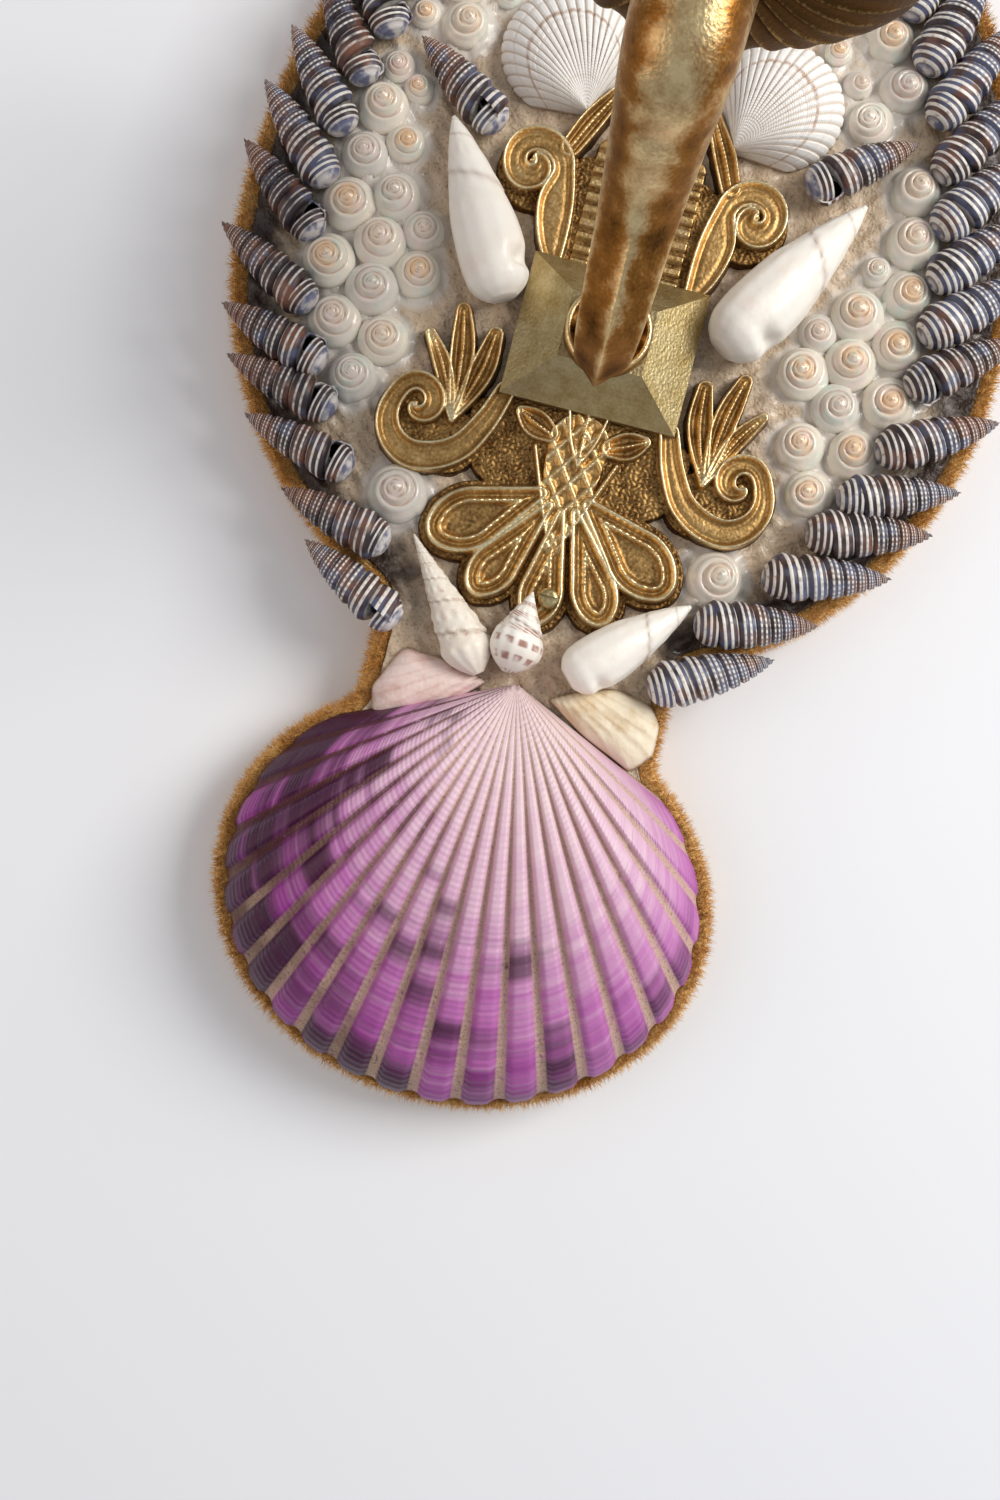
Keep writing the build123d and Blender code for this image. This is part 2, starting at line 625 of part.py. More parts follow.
def make_backplate():
    shoulder = Pos(0, SHOULDER_Y) * Rectangle(*SHOULDER_SIZE)
    crest = drop_shape(*CREST_GROUND)
    waist = Pos(0, BOSS_Y) * Rectangle(BOSS_WIDTH, BOSS_HEIGHT)
    apron = Pos(0, APRON_Y) * Rectangle(*APRON_SIZE)
    heart = Pos(*PALMETTE_GROUND[0]) * Circle(PALMETTE_GROUND[1])
    ground = waist + shoulder + crest + apron + heart
    for lobe in lobes():
        ground += drop_shape(*lobe)
    for (x, y), radius in GROUND_DISCS:
        ground += Pos(x, y) * Circle(radius)
        ground += Pos(-x, y) * Circle(radius)
    plate = slab(ground, BED_FRONT, PLATE_FRONT)
    for lobe in lobes():
        plate += raised_drop(*lobe)
    plate += raised_drop(*CREST_RAISED)
    half = [slab(leaf(*spray), BED_FRONT, PLATE_FRONT + 0.6 * RELIEF) for spray in SPRAYS]
    low_sweeps = [-SCROLL_LOW_HEADING] + [90.0] * (len(SCROLL_LOW_RADII) - 1)
    high_sweeps = [-90.0] * len(SCROLL_HIGH_RADII)
    half.append(scroll(SCROLL_LOW_START, SCROLL_LOW_HEADING, SCROLL_LOW_RUN, SCROLL_LOW_RADII, low_sweeps))
    half.append(scroll(SCROLL_HIGH_START, SCROLL_HIGH_HEADING, SCROLL_HIGH_RUN, SCROLL_HIGH_RADII,
                       high_sweeps))
    half.append(slab(Pos(*BAR_PLACE) * Rectangle(*BAR_SIZE), PLATE_FRONT, PLATE_FRONT + 0.7 * RELIEF))
    for piece in half:
        plate += piece
        plate += mirrored(piece)
    plate -= rod(STUD_R + SCREW_GAP, BED_FRONT, PLATE_FRONT + 2 * RELIEF, 0, BOSS_Y)
    for x, y in plate_screw_places():
        plate -= rod(PLATE_SCREW_R + SCREW_GAP, BED_FRONT, PLATE_FRONT + 2 * RELIEF, x, y)
        plate -= rod(PLATE_SCREW_HEAD_R + 0.4, PLATE_FRONT + RELIEF, PLATE_FRONT + 2 * RELIEF, x, y)
    return plate


def make_plate_screws():
    screws = []
    seat = PLATE_FRONT + RELIEF
    for x, y in plate_screw_places():
        shank = rod(PLATE_SCREW_R, seat - PLATE_SCREW_LENGTH, seat, x, y)
        head = rod(PLATE_SCREW_HEAD_R, seat, seat + PLATE_SCREW_HEAD_T, x, y)
        head = fillet(head.faces().sort_by(Axis.Z)[-1].edges(), 0.8 * PLATE_SCREW_HEAD_T)
        slot = Pos(x, y, seat + PLATE_SCREW_HEAD_T) * Box(3 * PLATE_SCREW_HEAD_R, 0.7, 1.2)
        screws.append(shank + (head - slot))
    return screws


# Boss, rosette, arm and fixing

def make_boss():
    seat = Pos(0, BOSS_Y) * Rectangle(BOSS_WIDTH, BOSS_HEIGHT)
    crown = Pos(0, BOSS_Y) * Rectangle(BOSS_TOP_WIDTH, BOSS_TOP_HEIGHT)
    edge = PLATE_FRONT + BOSS_EDGE
    boss = slab(seat, PLATE_FRONT, edge) + loft([Pos(0, 0, edge) * seat, Pos(0, 0, BOSS_FRONT) * crown])
    return boss - rod(STUD_R + SCREW_GAP, PLATE_FRONT, BOSS_FRONT, 0, BOSS_Y)


def make_rosette():
    collar = rod(ROSETTE_R, BOSS_FRONT, ROSETTE_FRONT, 0, BOSS_Y)
    collar = fillet(collar.faces().sort_by(Axis.Z)[-1].edges(), 0.7 * ROSETTE_T)
    return collar - rod(STUD_R + SCREW_GAP, BOSS_FRONT, ROSETTE_FRONT, 0, BOSS_Y)


def arm_stations():
    """Depth, height, width and thickness of the arm's keeled sections, from the wall to the pan."""
    low = BOSS_Y - 15.5
    out = ARM_REACH - ROSETTE_FRONT
    shares = [(0.08, 0.0, 9.0, 9.5), (0.22, 0.52, 8.6, 8.6), (0.40, 0.98, 9.0, 7.6), (0.56, 0.82, 11.5, 7.4)]
    stations = [(ROSETTE_FRONT + a * out, BOSS_Y + b * (low - BOSS_Y), w, t) for a, b, w, t in shares]
    climb = PAD_Z - low
    for a, b, w, t in [(0.70, 0.40, 15.0, 7.6), (0.84, 0.60, 16.5, 8.6), (0.955, 0.78, 16.0, 11.0)]:
        stations.append((ROSETTE_FRONT + a * out, low + b * climb, w, t))
    return stations


def make_arm():
    stations = arm_stations()
    sections = []
    for k, (depth, height, width, thick) in enumerate(stations):
        before, after = stations[max(0, k - 1)], stations[min(len(stations) - 1, k + 1)]
        heading = Vector(0, after[1] - before[1], after[0] - before[0]).normalized()
        keel = Polyline((-width / 2, 0), (0, -thick / 2), (width / 2, 0), (0, thick / 2), close=True)
        frame = Plane(origin=(0, height, depth), x_dir=(1, 0, 0), z_dir=heading)
        sections.append(frame * make_face(keel))
    arm = loft(sections)
    arm += rod(ARM_ROOT_R, ROSETTE_FRONT, ROSETTE_FRONT + ARM_ROOT_LENGTH, 0, BOSS_Y)
    foot = PAD_Z - SOCKET_LENGTH
    profile = Polyline((0, foot), (0.62 * SOCKET_R, foot), (SOCKET_R, foot + 4.0), (SOCKET_R, PAD_Z - 4.0),
                       (PAD_R, PAD_Z - 1.5), (PAD_R, PAD_Z), (0, PAD_Z), close=True)
    arm += Pos(0, 0, ARM_REACH) * revolve(make_face(profile), Axis.Y)
    arm -= upright(TENON_R + TENON_CLEARANCE, PAD_Z - TENON_LENGTH - 0.5, PAD_Z)
    return arm - rod(STUD_R + SCREW_GAP, ROSETTE_FRONT, ROSETTE_FRONT + STUD_GRIP + SCREW_GAP, 0, BOSS_Y)


def upright(radius, low, high):
    """A plumb round bar on the nozzle's axis."""
    return Pos(0, (low + high) / 2, ARM_REACH) * Rot(90, 0, 0) * Cylinder(radius, high - low)


def make_stud():
    return rod(STUD_R, BOARD_BACK + 0.3, ROSETTE_FRONT + STUD_GRIP, 0, BOSS_Y)


def make_washer():
    floor = BOARD_BACK + POCKET_DEPTH
    hole = rod(STUD_R + SCREW_GAP, floor - WASHER_T, floor, 0, BOSS_Y)
    return rod(WASHER_R, floor - WASHER_T, floor, 0, BOSS_Y) - hole


def make_nut():
    high = BOARD_BACK + POCKET_DEPTH - WASHER_T
    hexagon = Pos(0, BOSS_Y) * RegularPolygon(NUT_FLATS / 2, 6, major_radius=False)
    return slab(hexagon, high - NUT_T, high) - rod(STUD_R + SCREW_GAP, high - NUT_T, high, 0, BOSS_Y)


# Lift-off nozzle

def make_pan():
    low, rim = PAD_Z, PAD_Z + PAN_RISE
    floor = low + PAN_WALL
    turn_up = (0.93 * PAN_R, low + 0.6 * PAN_RISE)
    outer = ThreePointArc((PAD_R, low), (0.66 * PAN_R, low + 0.17 * PAN_RISE), turn_up)
    lip = Polyline(turn_up, (PAN_R, rim - 0.8), (PAN_R, rim), (PAN_R - PAN_WALL, rim),
                   (turn_up[0] - PAN_WALL, turn_up[1] + 0.6 * PAN_WALL))
    inner = ThreePointArc(lip @ 1, (0.64 * PAN_R, floor + 0.17 * PAN_RISE), (PAD_R, floor))
    hub = Polyline(inner @ 1, (TENON_R + 0.3, floor), (TENON_R + 0.3, low), (PAD_R, low))
    pan = revolve(make_face([outer, lip, inner, hub]), Axis.Y)
    near, far = 0.42 * PAN_R, 0.9 * PAN_R
    slope = math.degrees(math.atan2(0.46 * PAN_RISE, far - near))
    rib = Rot(0, 0, slope) * Rot(0, 90, 0) * Cone(0.9, 1.9, far - near)
    rib = Pos((near + far) / 2, low + 0.3 * PAN_RISE, 0) * rib
    ribs = [Rot(0, 360.0 * k / PAN_RIBS, 0) * rib for k in range(PAN_RIBS)]
    hollow = revolve(make_face([inner, Polyline(inner @ 1, (0, floor), (0, rim), lip @ 1)]), Axis.Y)
    pan = pan.fuse(*ribs) - hollow
    return Pos(0, 0, ARM_REACH) * pan


def make_cup():
    seat = PAD_Z + PAN_WALL
    neck = seat + CUP_STEM_LENGTH
    floor = neck + CUP_FLOOR
    top = floor + CANDLE_DEPTH
    wide = CANDLE_R + CUP_WALL
    foot = PAD_Z - TENON_LENGTH
    flange = 1.7 * CUP_STEM_R
    chamfer_size = 0.1 * TENON_R
    stem = Polyline((0, foot), (TENON_R - chamfer_size, foot), (TENON_R, foot + chamfer_size),
                    (TENON_R, seat), (flange, seat), (flange, seat + 1.4), (CUP_STEM_R, seat + 2.6))
    knop = ThreePointArc(stem @ 1, (0.82 * CUP_STEM_R, seat + 0.62 * CUP_STEM_LENGTH), (CUP_STEM_R, neck))
    shoulder = (wide, floor + 0.4 * CANDLE_DEPTH)
    belly = ThreePointArc(knop @ 1, (wide - 0.4 * CUP_WALL, floor - 0.1 * CUP_FLOOR), shoulder)
    lip = Polyline(shoulder, (wide, top - 3.0), (wide + CUP_WALL, top - 1.2), (wide + CUP_WALL, top),
                   (CANDLE_R, top), (CANDLE_R, floor), (0, floor), (0, foot))
    return Pos(0, 0, ARM_REACH) * revolve(make_face([stem, knop, belly, lip]), Axis.Y)


def save(name, solids):
    """Write one node, turned from the wall's frame into the part's frame."""
    pieces = solids if isinstance(solids, list) else [solids]
    turned_pieces = [WALL * s for piece in pieces for s in piece.solids()]
    node = turned_pieces[0] if len(turned_pieces) == 1 else Compound(children=turned_pieces)
    node.label = name
    export_step(node, f"parts/{name}.step")


def main():
    os.makedirs("parts", exist_ok=True)
    horn_shell = horn(HORN_LENGTH, HORN_R)
    right_bars = keep_outs() + side_keep_outs(WHITE_RIGHT, INNER_HORN_RIGHT, SINGLE_TOPS[1])
    left_bars = keep_outs() + side_keep_outs(WHITE_LEFT, INNER_HORN_LEFT, SINGLE_TOPS[0])
    right_tops = top_places(right_bars)
    left_tops = top_places(left_bars)
    pearls = [on_bed(button_top(PEARL_R), side * x, y) for x, y in pearl_places() for side in (1, -1)]
    low_right = [place for place in right_tops if place[1] < CROWN_Y]
    low_left = [place for place in left_tops if place[1] < CROWN_Y]
    crown = make_tops([p for p in right_tops if p[1] >= CROWN_Y], 1)
    crown += make_tops([p for p in left_tops if p[1] >= CROWN_Y], -1)
    singles = [on_bed(button_top(radius), x, y) for x, y, radius in SINGLE_TOPS]

    save("backboard", make_backboard())
    save("velvet_cover", make_velvet())
    save("glue_bed", make_bed())
    save("hanger_plate", make_hanger())
    save("hanger_screws", make_hanger_screws())
    save("scallop_shell", make_scallop())
    save("scallop_ear_left", make_ear(EAR_LEFT))
    save("scallop_ear_right", make_ear(EAR_RIGHT))
    save("cockle_right", make_cockle())
    save("cockle_left", mirrored(make_cockle()))
    save("white_shell_right", smooth_shell(WHITE_RIGHT, WHITE_RIGHT_R))
    save("white_shell_left", smooth_shell(WHITE_LEFT, WHITE_LEFT_R))
    save("spindle_shell", smooth_shell(SPINDLE, SPINDLE_R))
    save("turret_shell", make_turret())
    save("striped_whelk", make_whelk())
    save("horn_shells_right", make_horns_right(horn_shell))
    save("horn_shells_left", make_horns_left(horn_shell))
    save("horn_shell_crown", place_horn(horn_shell, 0, BODY_TOP, 90.0))
    inner = [place_horn(horn_shell, *tip, rise) for tip, rise in (INNER_HORN_LEFT, INNER_HORN_RIGHT)]
    save("inner_horn_shells", inner)
    save("top_shells_right", make_tops(low_right, 1) + [singles[1]])
    save("top_shells_left", make_tops(low_left, -1) + [singles[0]])
    save("top_shells_crown", crown)
    save("pearl_shells", pearls)
    save("brass_backplate", make_backplate())
    save("plate_screws", make_plate_screws())
    save("arm_boss", make_boss())
    save("rosette", make_rosette())
    save("arm", make_arm())
    save("arm_stud", make_stud())
    save("stud_washer", make_washer())
    save("stud_nut", make_nut())
    save("drip_pan", make_pan())
    save("candle_cup", make_cup())


main()
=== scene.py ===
"""Looks of a candle wall sconce set with sea shells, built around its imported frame.

Shapes are drawn in the wall's own millimetres: x to the right, y up the wall and z out into the room.
"""
import logging
import math
from dataclasses import dataclass
from enum import Enum
from typing import Any, Callable, Dict, List, Optional, Sequence, Tuple

import bmesh
import bpy
import numpy as np
from mathutils import Matrix, Vector
from mathutils.geometry import tessellate_polygon


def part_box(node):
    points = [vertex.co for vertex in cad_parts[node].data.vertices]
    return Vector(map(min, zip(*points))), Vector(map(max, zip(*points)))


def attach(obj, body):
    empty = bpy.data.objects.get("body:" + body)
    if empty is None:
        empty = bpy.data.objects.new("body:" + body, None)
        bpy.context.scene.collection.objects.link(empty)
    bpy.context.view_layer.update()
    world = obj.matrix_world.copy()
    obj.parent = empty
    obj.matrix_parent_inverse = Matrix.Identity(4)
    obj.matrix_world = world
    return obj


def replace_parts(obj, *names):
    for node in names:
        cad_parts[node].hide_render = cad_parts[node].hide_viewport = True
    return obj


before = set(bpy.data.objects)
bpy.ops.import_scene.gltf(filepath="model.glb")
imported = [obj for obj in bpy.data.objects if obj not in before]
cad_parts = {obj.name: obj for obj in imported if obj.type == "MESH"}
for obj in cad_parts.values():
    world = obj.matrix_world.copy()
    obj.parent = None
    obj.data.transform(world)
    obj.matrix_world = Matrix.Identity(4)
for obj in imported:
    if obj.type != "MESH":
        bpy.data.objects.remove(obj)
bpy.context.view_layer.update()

LOG = logging.getLogger("sconce")
PLAQUE = "plaque"
NOZZLE = "nozzle"
MM = 0.001
TURN = 2.0 * math.pi
Colour = Tuple[float, float, float, float]
Point = Tuple[float, float]
Place = Tuple[float, float, float]


def colour(red: int, green: int, blue: int) -> Colour:
    """Linear colour of an sRGB triple from 0 to 255.

    Args:
        red: its red.
        green: its green.
        blue: its blue.

    Returns:
        The colour, with a full alpha.
    """
    shares = (red / 255.0, green / 255.0, blue / 255.0)
    linear = [s / 12.92 if s <= 0.04045 else ((s + 0.055) / 1.055) ** 2.4 for s in shares]
    return (linear[0], linear[1], linear[2], 1.0)


def smooth(values: np.ndarray, low: float, high: float) -> np.ndarray:
    """Smooth step from 0 at low to 1 at high."""
    share = np.clip((values - low) / (high - low), 0.0, 1.0)
    return share * share * (3.0 - 2.0 * share)


def to_frame(points: np.ndarray) -> np.ndarray:
    """Points of the wall's millimetres, as metres of the part's frame."""
    return np.stack([points[..., 0], -points[..., 2], points[..., 1]], axis=-1) * MM


def from_frame(points: np.ndarray) -> np.ndarray:
    """Points of the part's frame, as the wall's millimetres."""
    return np.stack([points[..., 0], points[..., 2], -points[..., 1]], axis=-1) / MM


def bell(values: np.ndarray, middle: float, width: float) -> np.ndarray:
    """Bell that is 1 at its middle and almost 0 two widths away."""
    return np.exp(-(((values - middle) / width) ** 2))


def bent(wave: np.ndarray, power: Any) -> np.ndarray:
    """Sine or cosine bent by a power, with its sign kept."""
    return np.sign(wave) * np.abs(wave) ** power


def circle(count: int) -> np.ndarray:
    """Angles round a full turn, as one row."""
    return np.linspace(0.0, TURN, count, endpoint=False)[None, :]


def lengths(line: np.ndarray) -> np.ndarray:
    """Distance along a line at each of its points."""
    return np.concatenate([[0.0], np.cumsum(np.linalg.norm(np.diff(line, axis=0), axis=1))])


def evenly(loop: np.ndarray, count: int = 0, step: float = 1.0) -> np.ndarray:
    """Evenly spaced points round a closed loop.

    Args:
        loop: its corners.
        count: how many points, or 0 to go by the step.
        step: distance between points.

    Returns:
        The points.
    """
    closed = np.concatenate([loop, loop[:1]])
    length = lengths(closed)
    count = count or int(length[-1] / step)
    spots = np.arange(count) * length[-1] / count
    return np.stack([np.interp(spots, length, closed[:, k]) for k in range(2)], axis=-1)


def depths(node: str) -> Tuple[float, float]:
    """Height of a CAD node's back and front above the wall, in mm."""
    low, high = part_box(node)
    return -high.y / MM, -low.y / MM


def add_object(name: str, data: bpy.types.ID) -> bpy.types.Object:
    """Put a new object in the scene.

    Args:
        name: its name.
        data: its mesh, light or camera.

    Returns:
        The object.
    """
    made = bpy.data.objects.new(name, data)
    bpy.context.scene.collection.objects.link(made)
    return made


# Shader building

class Value:
    """An output socket that joins in Python arithmetic: each operation adds a Math node."""

    def __init__(self, paint: "Paint", socket: bpy.types.NodeSocket) -> None:
        """Keep the socket and the paint it belongs to."""
        self.paint = paint
        self.socket = socket

    def _math(self, operation: str, first: Any, second: Any = 0.0) -> "Value":
        """Add one Math node.

        Args:
            operation: name of the Math operation.
            first: first operand.
            second: second operand.

        Returns:
            The node's result.
        """
        return self.paint.node("ShaderNodeMath", {"operation": operation}, {0: first, 1: second})

    def __add__(self, other: Any) -> "Value":
        """Sum."""
        return self._math("ADD", self, other)

    __radd__ = __add__

    def __sub__(self, other: Any) -> "Value":
        """Difference."""
        return self._math("SUBTRACT", self, other)

    def __rsub__(self, other: Any) -> "Value":
        """Difference from a number."""
        return self._math("SUBTRACT", other, self)

    def __mul__(self, other: Any) -> "Value":
        """Product."""
        return self._math("MULTIPLY", self, other)

    __rmul__ = __mul__

    def sine(self) -> "Value":
        """Sine of the value, in radians."""
        return self._math("SINE", self)

    def size(self) -> "Value":
        """Absolute value."""
        return self._math("ABSOLUTE", self)

    def step(self, low: float, high: float) -> "Value":
        """Smooth step from 0 at low to 1 at high, which may run downwards."""
        settings = {"interpolation_type": "SMOOTHSTEP"}
        return self.paint.node("ShaderNodeMapRange", settings, {"Value": self, "From Min": low, "From Max": high})


class Paint:
    """A material with one Principled shader and the nodes that feed it."""

    def __init__(self, name: str, constants: Optional[Dict[str, Any]] = None) -> None:
        """Make the material.

        Args:
            name: the material's name.
            constants: values set straight on the shader's sockets.
        """
        self.material = bpy.data.materials.new(name)
        self.material.use_nodes = True
        self.tree = self.material.node_tree
        self.shader = self.tree.nodes["Principled BSDF"]
        for socket, value in (constants or {}).items():
            self.shader.inputs[socket].default_value = value

    def node(self, kind: str, settings: Optional[Dict[str, Any]] = None,
             sockets: Optional[Dict[Any, Any]] = None, out: Any = 0) -> Value:
        """Add a node.

        Args:
            kind: the node's type.
            settings: its properties, set first; stops fills a colour ramp.
            sockets: values or links of its inputs, by name or number.
            out: the output to hand back.

        Returns:
            That output.
        """
        made = self.tree.nodes.new(kind)
        for key, value in (settings or {}).items():
            if key == "stops":
                self._fill_ramp(made.color_ramp, value)
            else:
                setattr(made, key, value)
        for key, value in (sockets or {}).items():
            if isinstance(value, Value):
                self.tree.links.new(value.socket, made.inputs[key])
            else:
                made.inputs[key].default_value = value
        return Value(self, made.outputs[out])

    @staticmethod
    def _fill_ramp(ramp: bpy.types.ColorRamp, stops: Sequence[Tuple[float, Colour]]) -> None:
        """Put stops of place and colour on a ramp.

        Args:
            ramp: the ramp to fill.
            stops: places from 0 to 1, with their colours.
        """
        while len(ramp.elements) < len(stops):
            ramp.elements.new(1.0)
        for element, (place, tone) in zip(ramp.elements, stops):
            element.position = place
            element.color = tone

    def read(self, *names: str) -> List[Value]:
        """Point attributes of the mesh."""
        return [self.node("ShaderNodeAttribute", {"attribute_name": name}, out="Fac") for name in names]

    def place(self, stretch: Place = (1.0, 1.0, 1.0)) -> Value:
        """Place on the object in metres, stretched along its axes."""
        spot = self.node("ShaderNodeTexCoord", out="Object")
        return self.node("ShaderNodeVectorMath", {"operation": "MULTIPLY"}, {0: spot, 1: stretch})

    def noise(self, scale: float, detail: float = 3.0, at: Optional[Value] = None) -> Value:
        """Smooth noise from 0 to 1 with so many features a metre."""
        return self.node("ShaderNodeTexNoise", None, {"Vector": at or self.place(), "Scale": scale, "Detail": detail})

    def streaks(self, across: Value, along: Value, shift: float, detail: float = 2.0) -> Value:
        """Flat noise that is drawn out by the scale of its two values.

        Args:
            across: first value.
            along: second value.
            shift: what sets it apart from other streaks.
            detail: how fine it gets.

        Returns:
            The noise, from 0 to 1.
        """
        spot = self.node("ShaderNodeCombineXYZ", None, {"X": across, "Y": along, "Z": shift})
        return self.node("ShaderNodeTexNoise", {"noise_dimensions": "2D"},
                         {"Vector": spot, "Scale": 1.0, "Detail": detail})

    def cells(self, scale: float) -> Value:
        """Distance from the middle of scattered cells."""
        return self.node("ShaderNodeTexVoronoi", None, {"Vector": self.place(), "Scale": scale})

    def ramp(self, value: Value, stops: Sequence[Tuple[float, Colour]]) -> Value:
        """Colour that runs through the stops."""
        return self.node("ShaderNodeValToRGB", {"stops": stops}, {"Fac": value})

    def blend(self, first: Any, second: Any, share: Any) -> Value:
        """Colour between two colours, by a share from 0 to 1."""
        return self.node("ShaderNodeMix", {"data_type": "RGBA"}, {0: share, 6: first, 7: second}, out=2)

    def bump(self, height: Value, depth: float) -> Value:
        """Normal of a surface with bumps of so many metres."""
        return self.node("ShaderNodeBump", None, {"Height": height, "Distance": depth})

    def wear(self, **sockets: Any) -> bpy.types.Material:
        """Link values to the shader.

        Args:
            **sockets: values by socket name, with an underscore for a space.

        Returns:
            The finished material.
        """
        for name, value in sockets.items():
            self.tree.links.new(value.socket, self.shader.inputs[name.replace("_", " ")])
        return self.material


# Finishes

@dataclass(frozen=True)
class BrassFinish:
    """Antiqued cast brass, rubbed bright on its high spots and dark brown in its recesses, and dark as painted shade
    where a piece gives a low value, as under the drip pan.
    """

    name: str = "antique_brass"
    bright: Colour = colour(246, 230, 186)
    body: Colour = colour(192, 154, 96)
    recess_and_shade: Colour = colour(90, 62, 32)
    tarnish: Colour = colour(122, 84, 40)
    mottle: float = 0.5
    grit: float = 0.6
    level: Optional[float] = None

    def make(self) -> bpy.types.Material:
        """Mix the finish, which reads the point attribute relief unless its level is given.

        Returns:
            The material.
        """
        paint = Paint(self.name, {"Metallic": 1.0, "Specular IOR Level": 0.5})
        relief = paint.read("relief")[0] if self.level is None else self.level
        cloud = paint.noise(260.0, 5.0)
        grain = paint.noise(1700.0, 4.0)
        pits = paint.cells(1500.0)
        level = (cloud - 0.5) * self.mottle + (grain - 0.5) * self.grit + relief
        # Low levels take the dark colour: patina in the casting's hollows, and painted shade under the drip pan
        tone = paint.ramp(level, [(0.12, self.recess_and_shade), (0.5, self.body), (0.92, self.bright)])
        stain = paint.noise(70.0, 4.0).step(0.55, 0.75) * 0.35
        tone = paint.blend(tone, self.tarnish, stain)
        rough = 0.47 - 0.14 * level.step(0.3, 1.0) + (grain - 0.5) * 0.25
        normal = paint.bump(grain * 0.6 + pits * 0.4 + cloud * 0.8, 0.00012)
        return paint.wear(Base_Color=tone, Roughness=rough, Normal=normal)


@dataclass(frozen=True)
class HornFinish:
    """Dark horn shell with pale spiral cords, broken into beads towards its tip, with painted shade deep in its open
    mouth.
    """

    name: str = "horn_shell"
    dark: Colour = colour(52, 42, 46)
    blue: Colour = colour(88, 92, 116)
    brown: Colour = colour(128, 84, 64)
    pale: Colour = colour(228, 222, 212)
    worn: Colour = colour(176, 160, 150)
    lip: Colour = colour(222, 216, 212)
    lip_blue: Colour = colour(110, 116, 146)
    # Painted shade: near black for the deep inside of an open mouth
    mouth: Colour = colour(40, 27, 24)
    cords: float = 10.0
    beads: float = 21.0

    def make(self) -> bpy.types.Material:
        """Mix the finish, which reads across, turn, size, inside and tone.

        Returns:
            The material.
        """
        paint = Paint(self.name, {"Specular IOR Level": 0.45})
        across, turn, tone, size, inside = paint.read("across", "turn", "tone", "size", "inside")
        wobble = (paint.noise(500.0, 3.0) - 0.5) * 0.35
        cord = (across * self.cords + wobble * 1.4).sine()
        bead = (turn * (TURN * self.beads) + wobble * 4.0).sine()
        beaded = 1.0 - 0.7 * size.step(0.92, 0.5) * bead.step(0.2, -0.4)
        line = (cord + tone * 0.8).step(0.3, 0.95) * beaded
        worn = paint.noise(320.0, 4.0)
        line = line * (worn + tone * 0.6).step(0.3, 0.66)
        warm = paint.noise(170.0, 3.0)
        ground = paint.blend(self.dark, self.brown, (warm + size.step(0.6, 0.1) * 0.4).step(0.42, 0.74))
        ground = paint.blend(ground, self.blue, (paint.noise(240.0, 2.0) + tone * 0.3).step(0.58, 0.8))
        pale = paint.blend(self.pale, self.worn, paint.noise(900.0, 3.0).step(0.5, 0.72))
        skin = paint.blend(ground, pale, line)
        lip = paint.blend(self.lip, self.lip_blue, paint.noise(420.0, 3.0).step(0.42, 0.62))
        skin = paint.blend(skin, lip, inside.step(0.05, 0.3))
        # Painted shade deep in the mouth, where its rings run in
        skin = paint.blend(skin, self.mouth, inside.step(0.45, 0.8))
        rough = 0.42 + (worn - 0.5) * 0.3
        normal = paint.bump(bead * 0.5 * size.step(1.0, 0.3) + cord * 0.5 + worn, 0.00009)
        return paint.wear(Base_Color=skin, Roughness=rough, Normal=normal)


@dataclass(frozen=True)
class PearlFinish:
    """Pearly button top with a warm spire and a faint painted sheen of green and pink."""

    name: str = "pearl_shell"
    pearl: Colour = colour(230, 221, 204)
    apex: Colour = colour(226, 176, 118)
    rose: Colour = colour(222, 196, 166)
    blush: Colour = colour(208, 176, 164)
    grey: Colour = colour(196, 194, 190)
    sheen_green: Colour = colour(204, 218, 206)
    sheen_pink: Colour = colour(232, 212, 206)
    suture: Colour = colour(176, 128, 96)

    def make(self) -> bpy.types.Material:
        """Mix the finish, which reads size, seam and tone.

        Returns:
            The material.
        """
        paint = Paint(self.name, {"Specular IOR Level": 0.6, "Coat Roughness": 0.08, "Subsurface Weight": 0.1,
                                  "Subsurface Radius": (0.002, 0.0014, 0.001), "Subsurface Scale": 0.6,
                                  "Thin Film Thickness": 420.0, "Thin Film IOR": 1.5})
        seam, size, tone = paint.read("seam", "size", "tone")
        cloud = paint.noise(260.0, 3.0)
        warm = paint.blend(self.apex, self.rose, tone.step(0.35, 0.7))
        glow = (size - 0.25).size().step(0.45, 0.1) * tone.step(0.0, 0.2)
        skin = paint.blend(self.pearl, warm, glow * (cloud * 0.8 + 0.25))
        skin = paint.blend(skin, self.blush, tone.step(0.86, 0.92) * size.step(1.0, 0.4) * 0.6)
        skin = paint.blend(skin, self.grey, (tone * 23.0).sine().step(-0.2, 0.9) * 0.5)
        # Painted sheen: green and pink patches stand in for the nacre's play of light
        sheen = paint.blend(self.sheen_green, self.sheen_pink, paint.noise(180.0, 1.0).step(0.4, 0.6))
        skin = paint.blend(skin, sheen, paint.noise(330.0, 2.0).step(0.45, 0.7) * 0.65)
        skin = paint.blend(skin, self.suture, seam * 0.75)
        rough = 0.22 + cloud * 0.16
        coat = 0.5 + cloud * 0.3
        normal = paint.bump(paint.noise(1400.0, 3.0) + cloud, 0.00005)
        return paint.wear(Base_Color=skin, Roughness=rough, Coat_Weight=coat, Normal=normal)


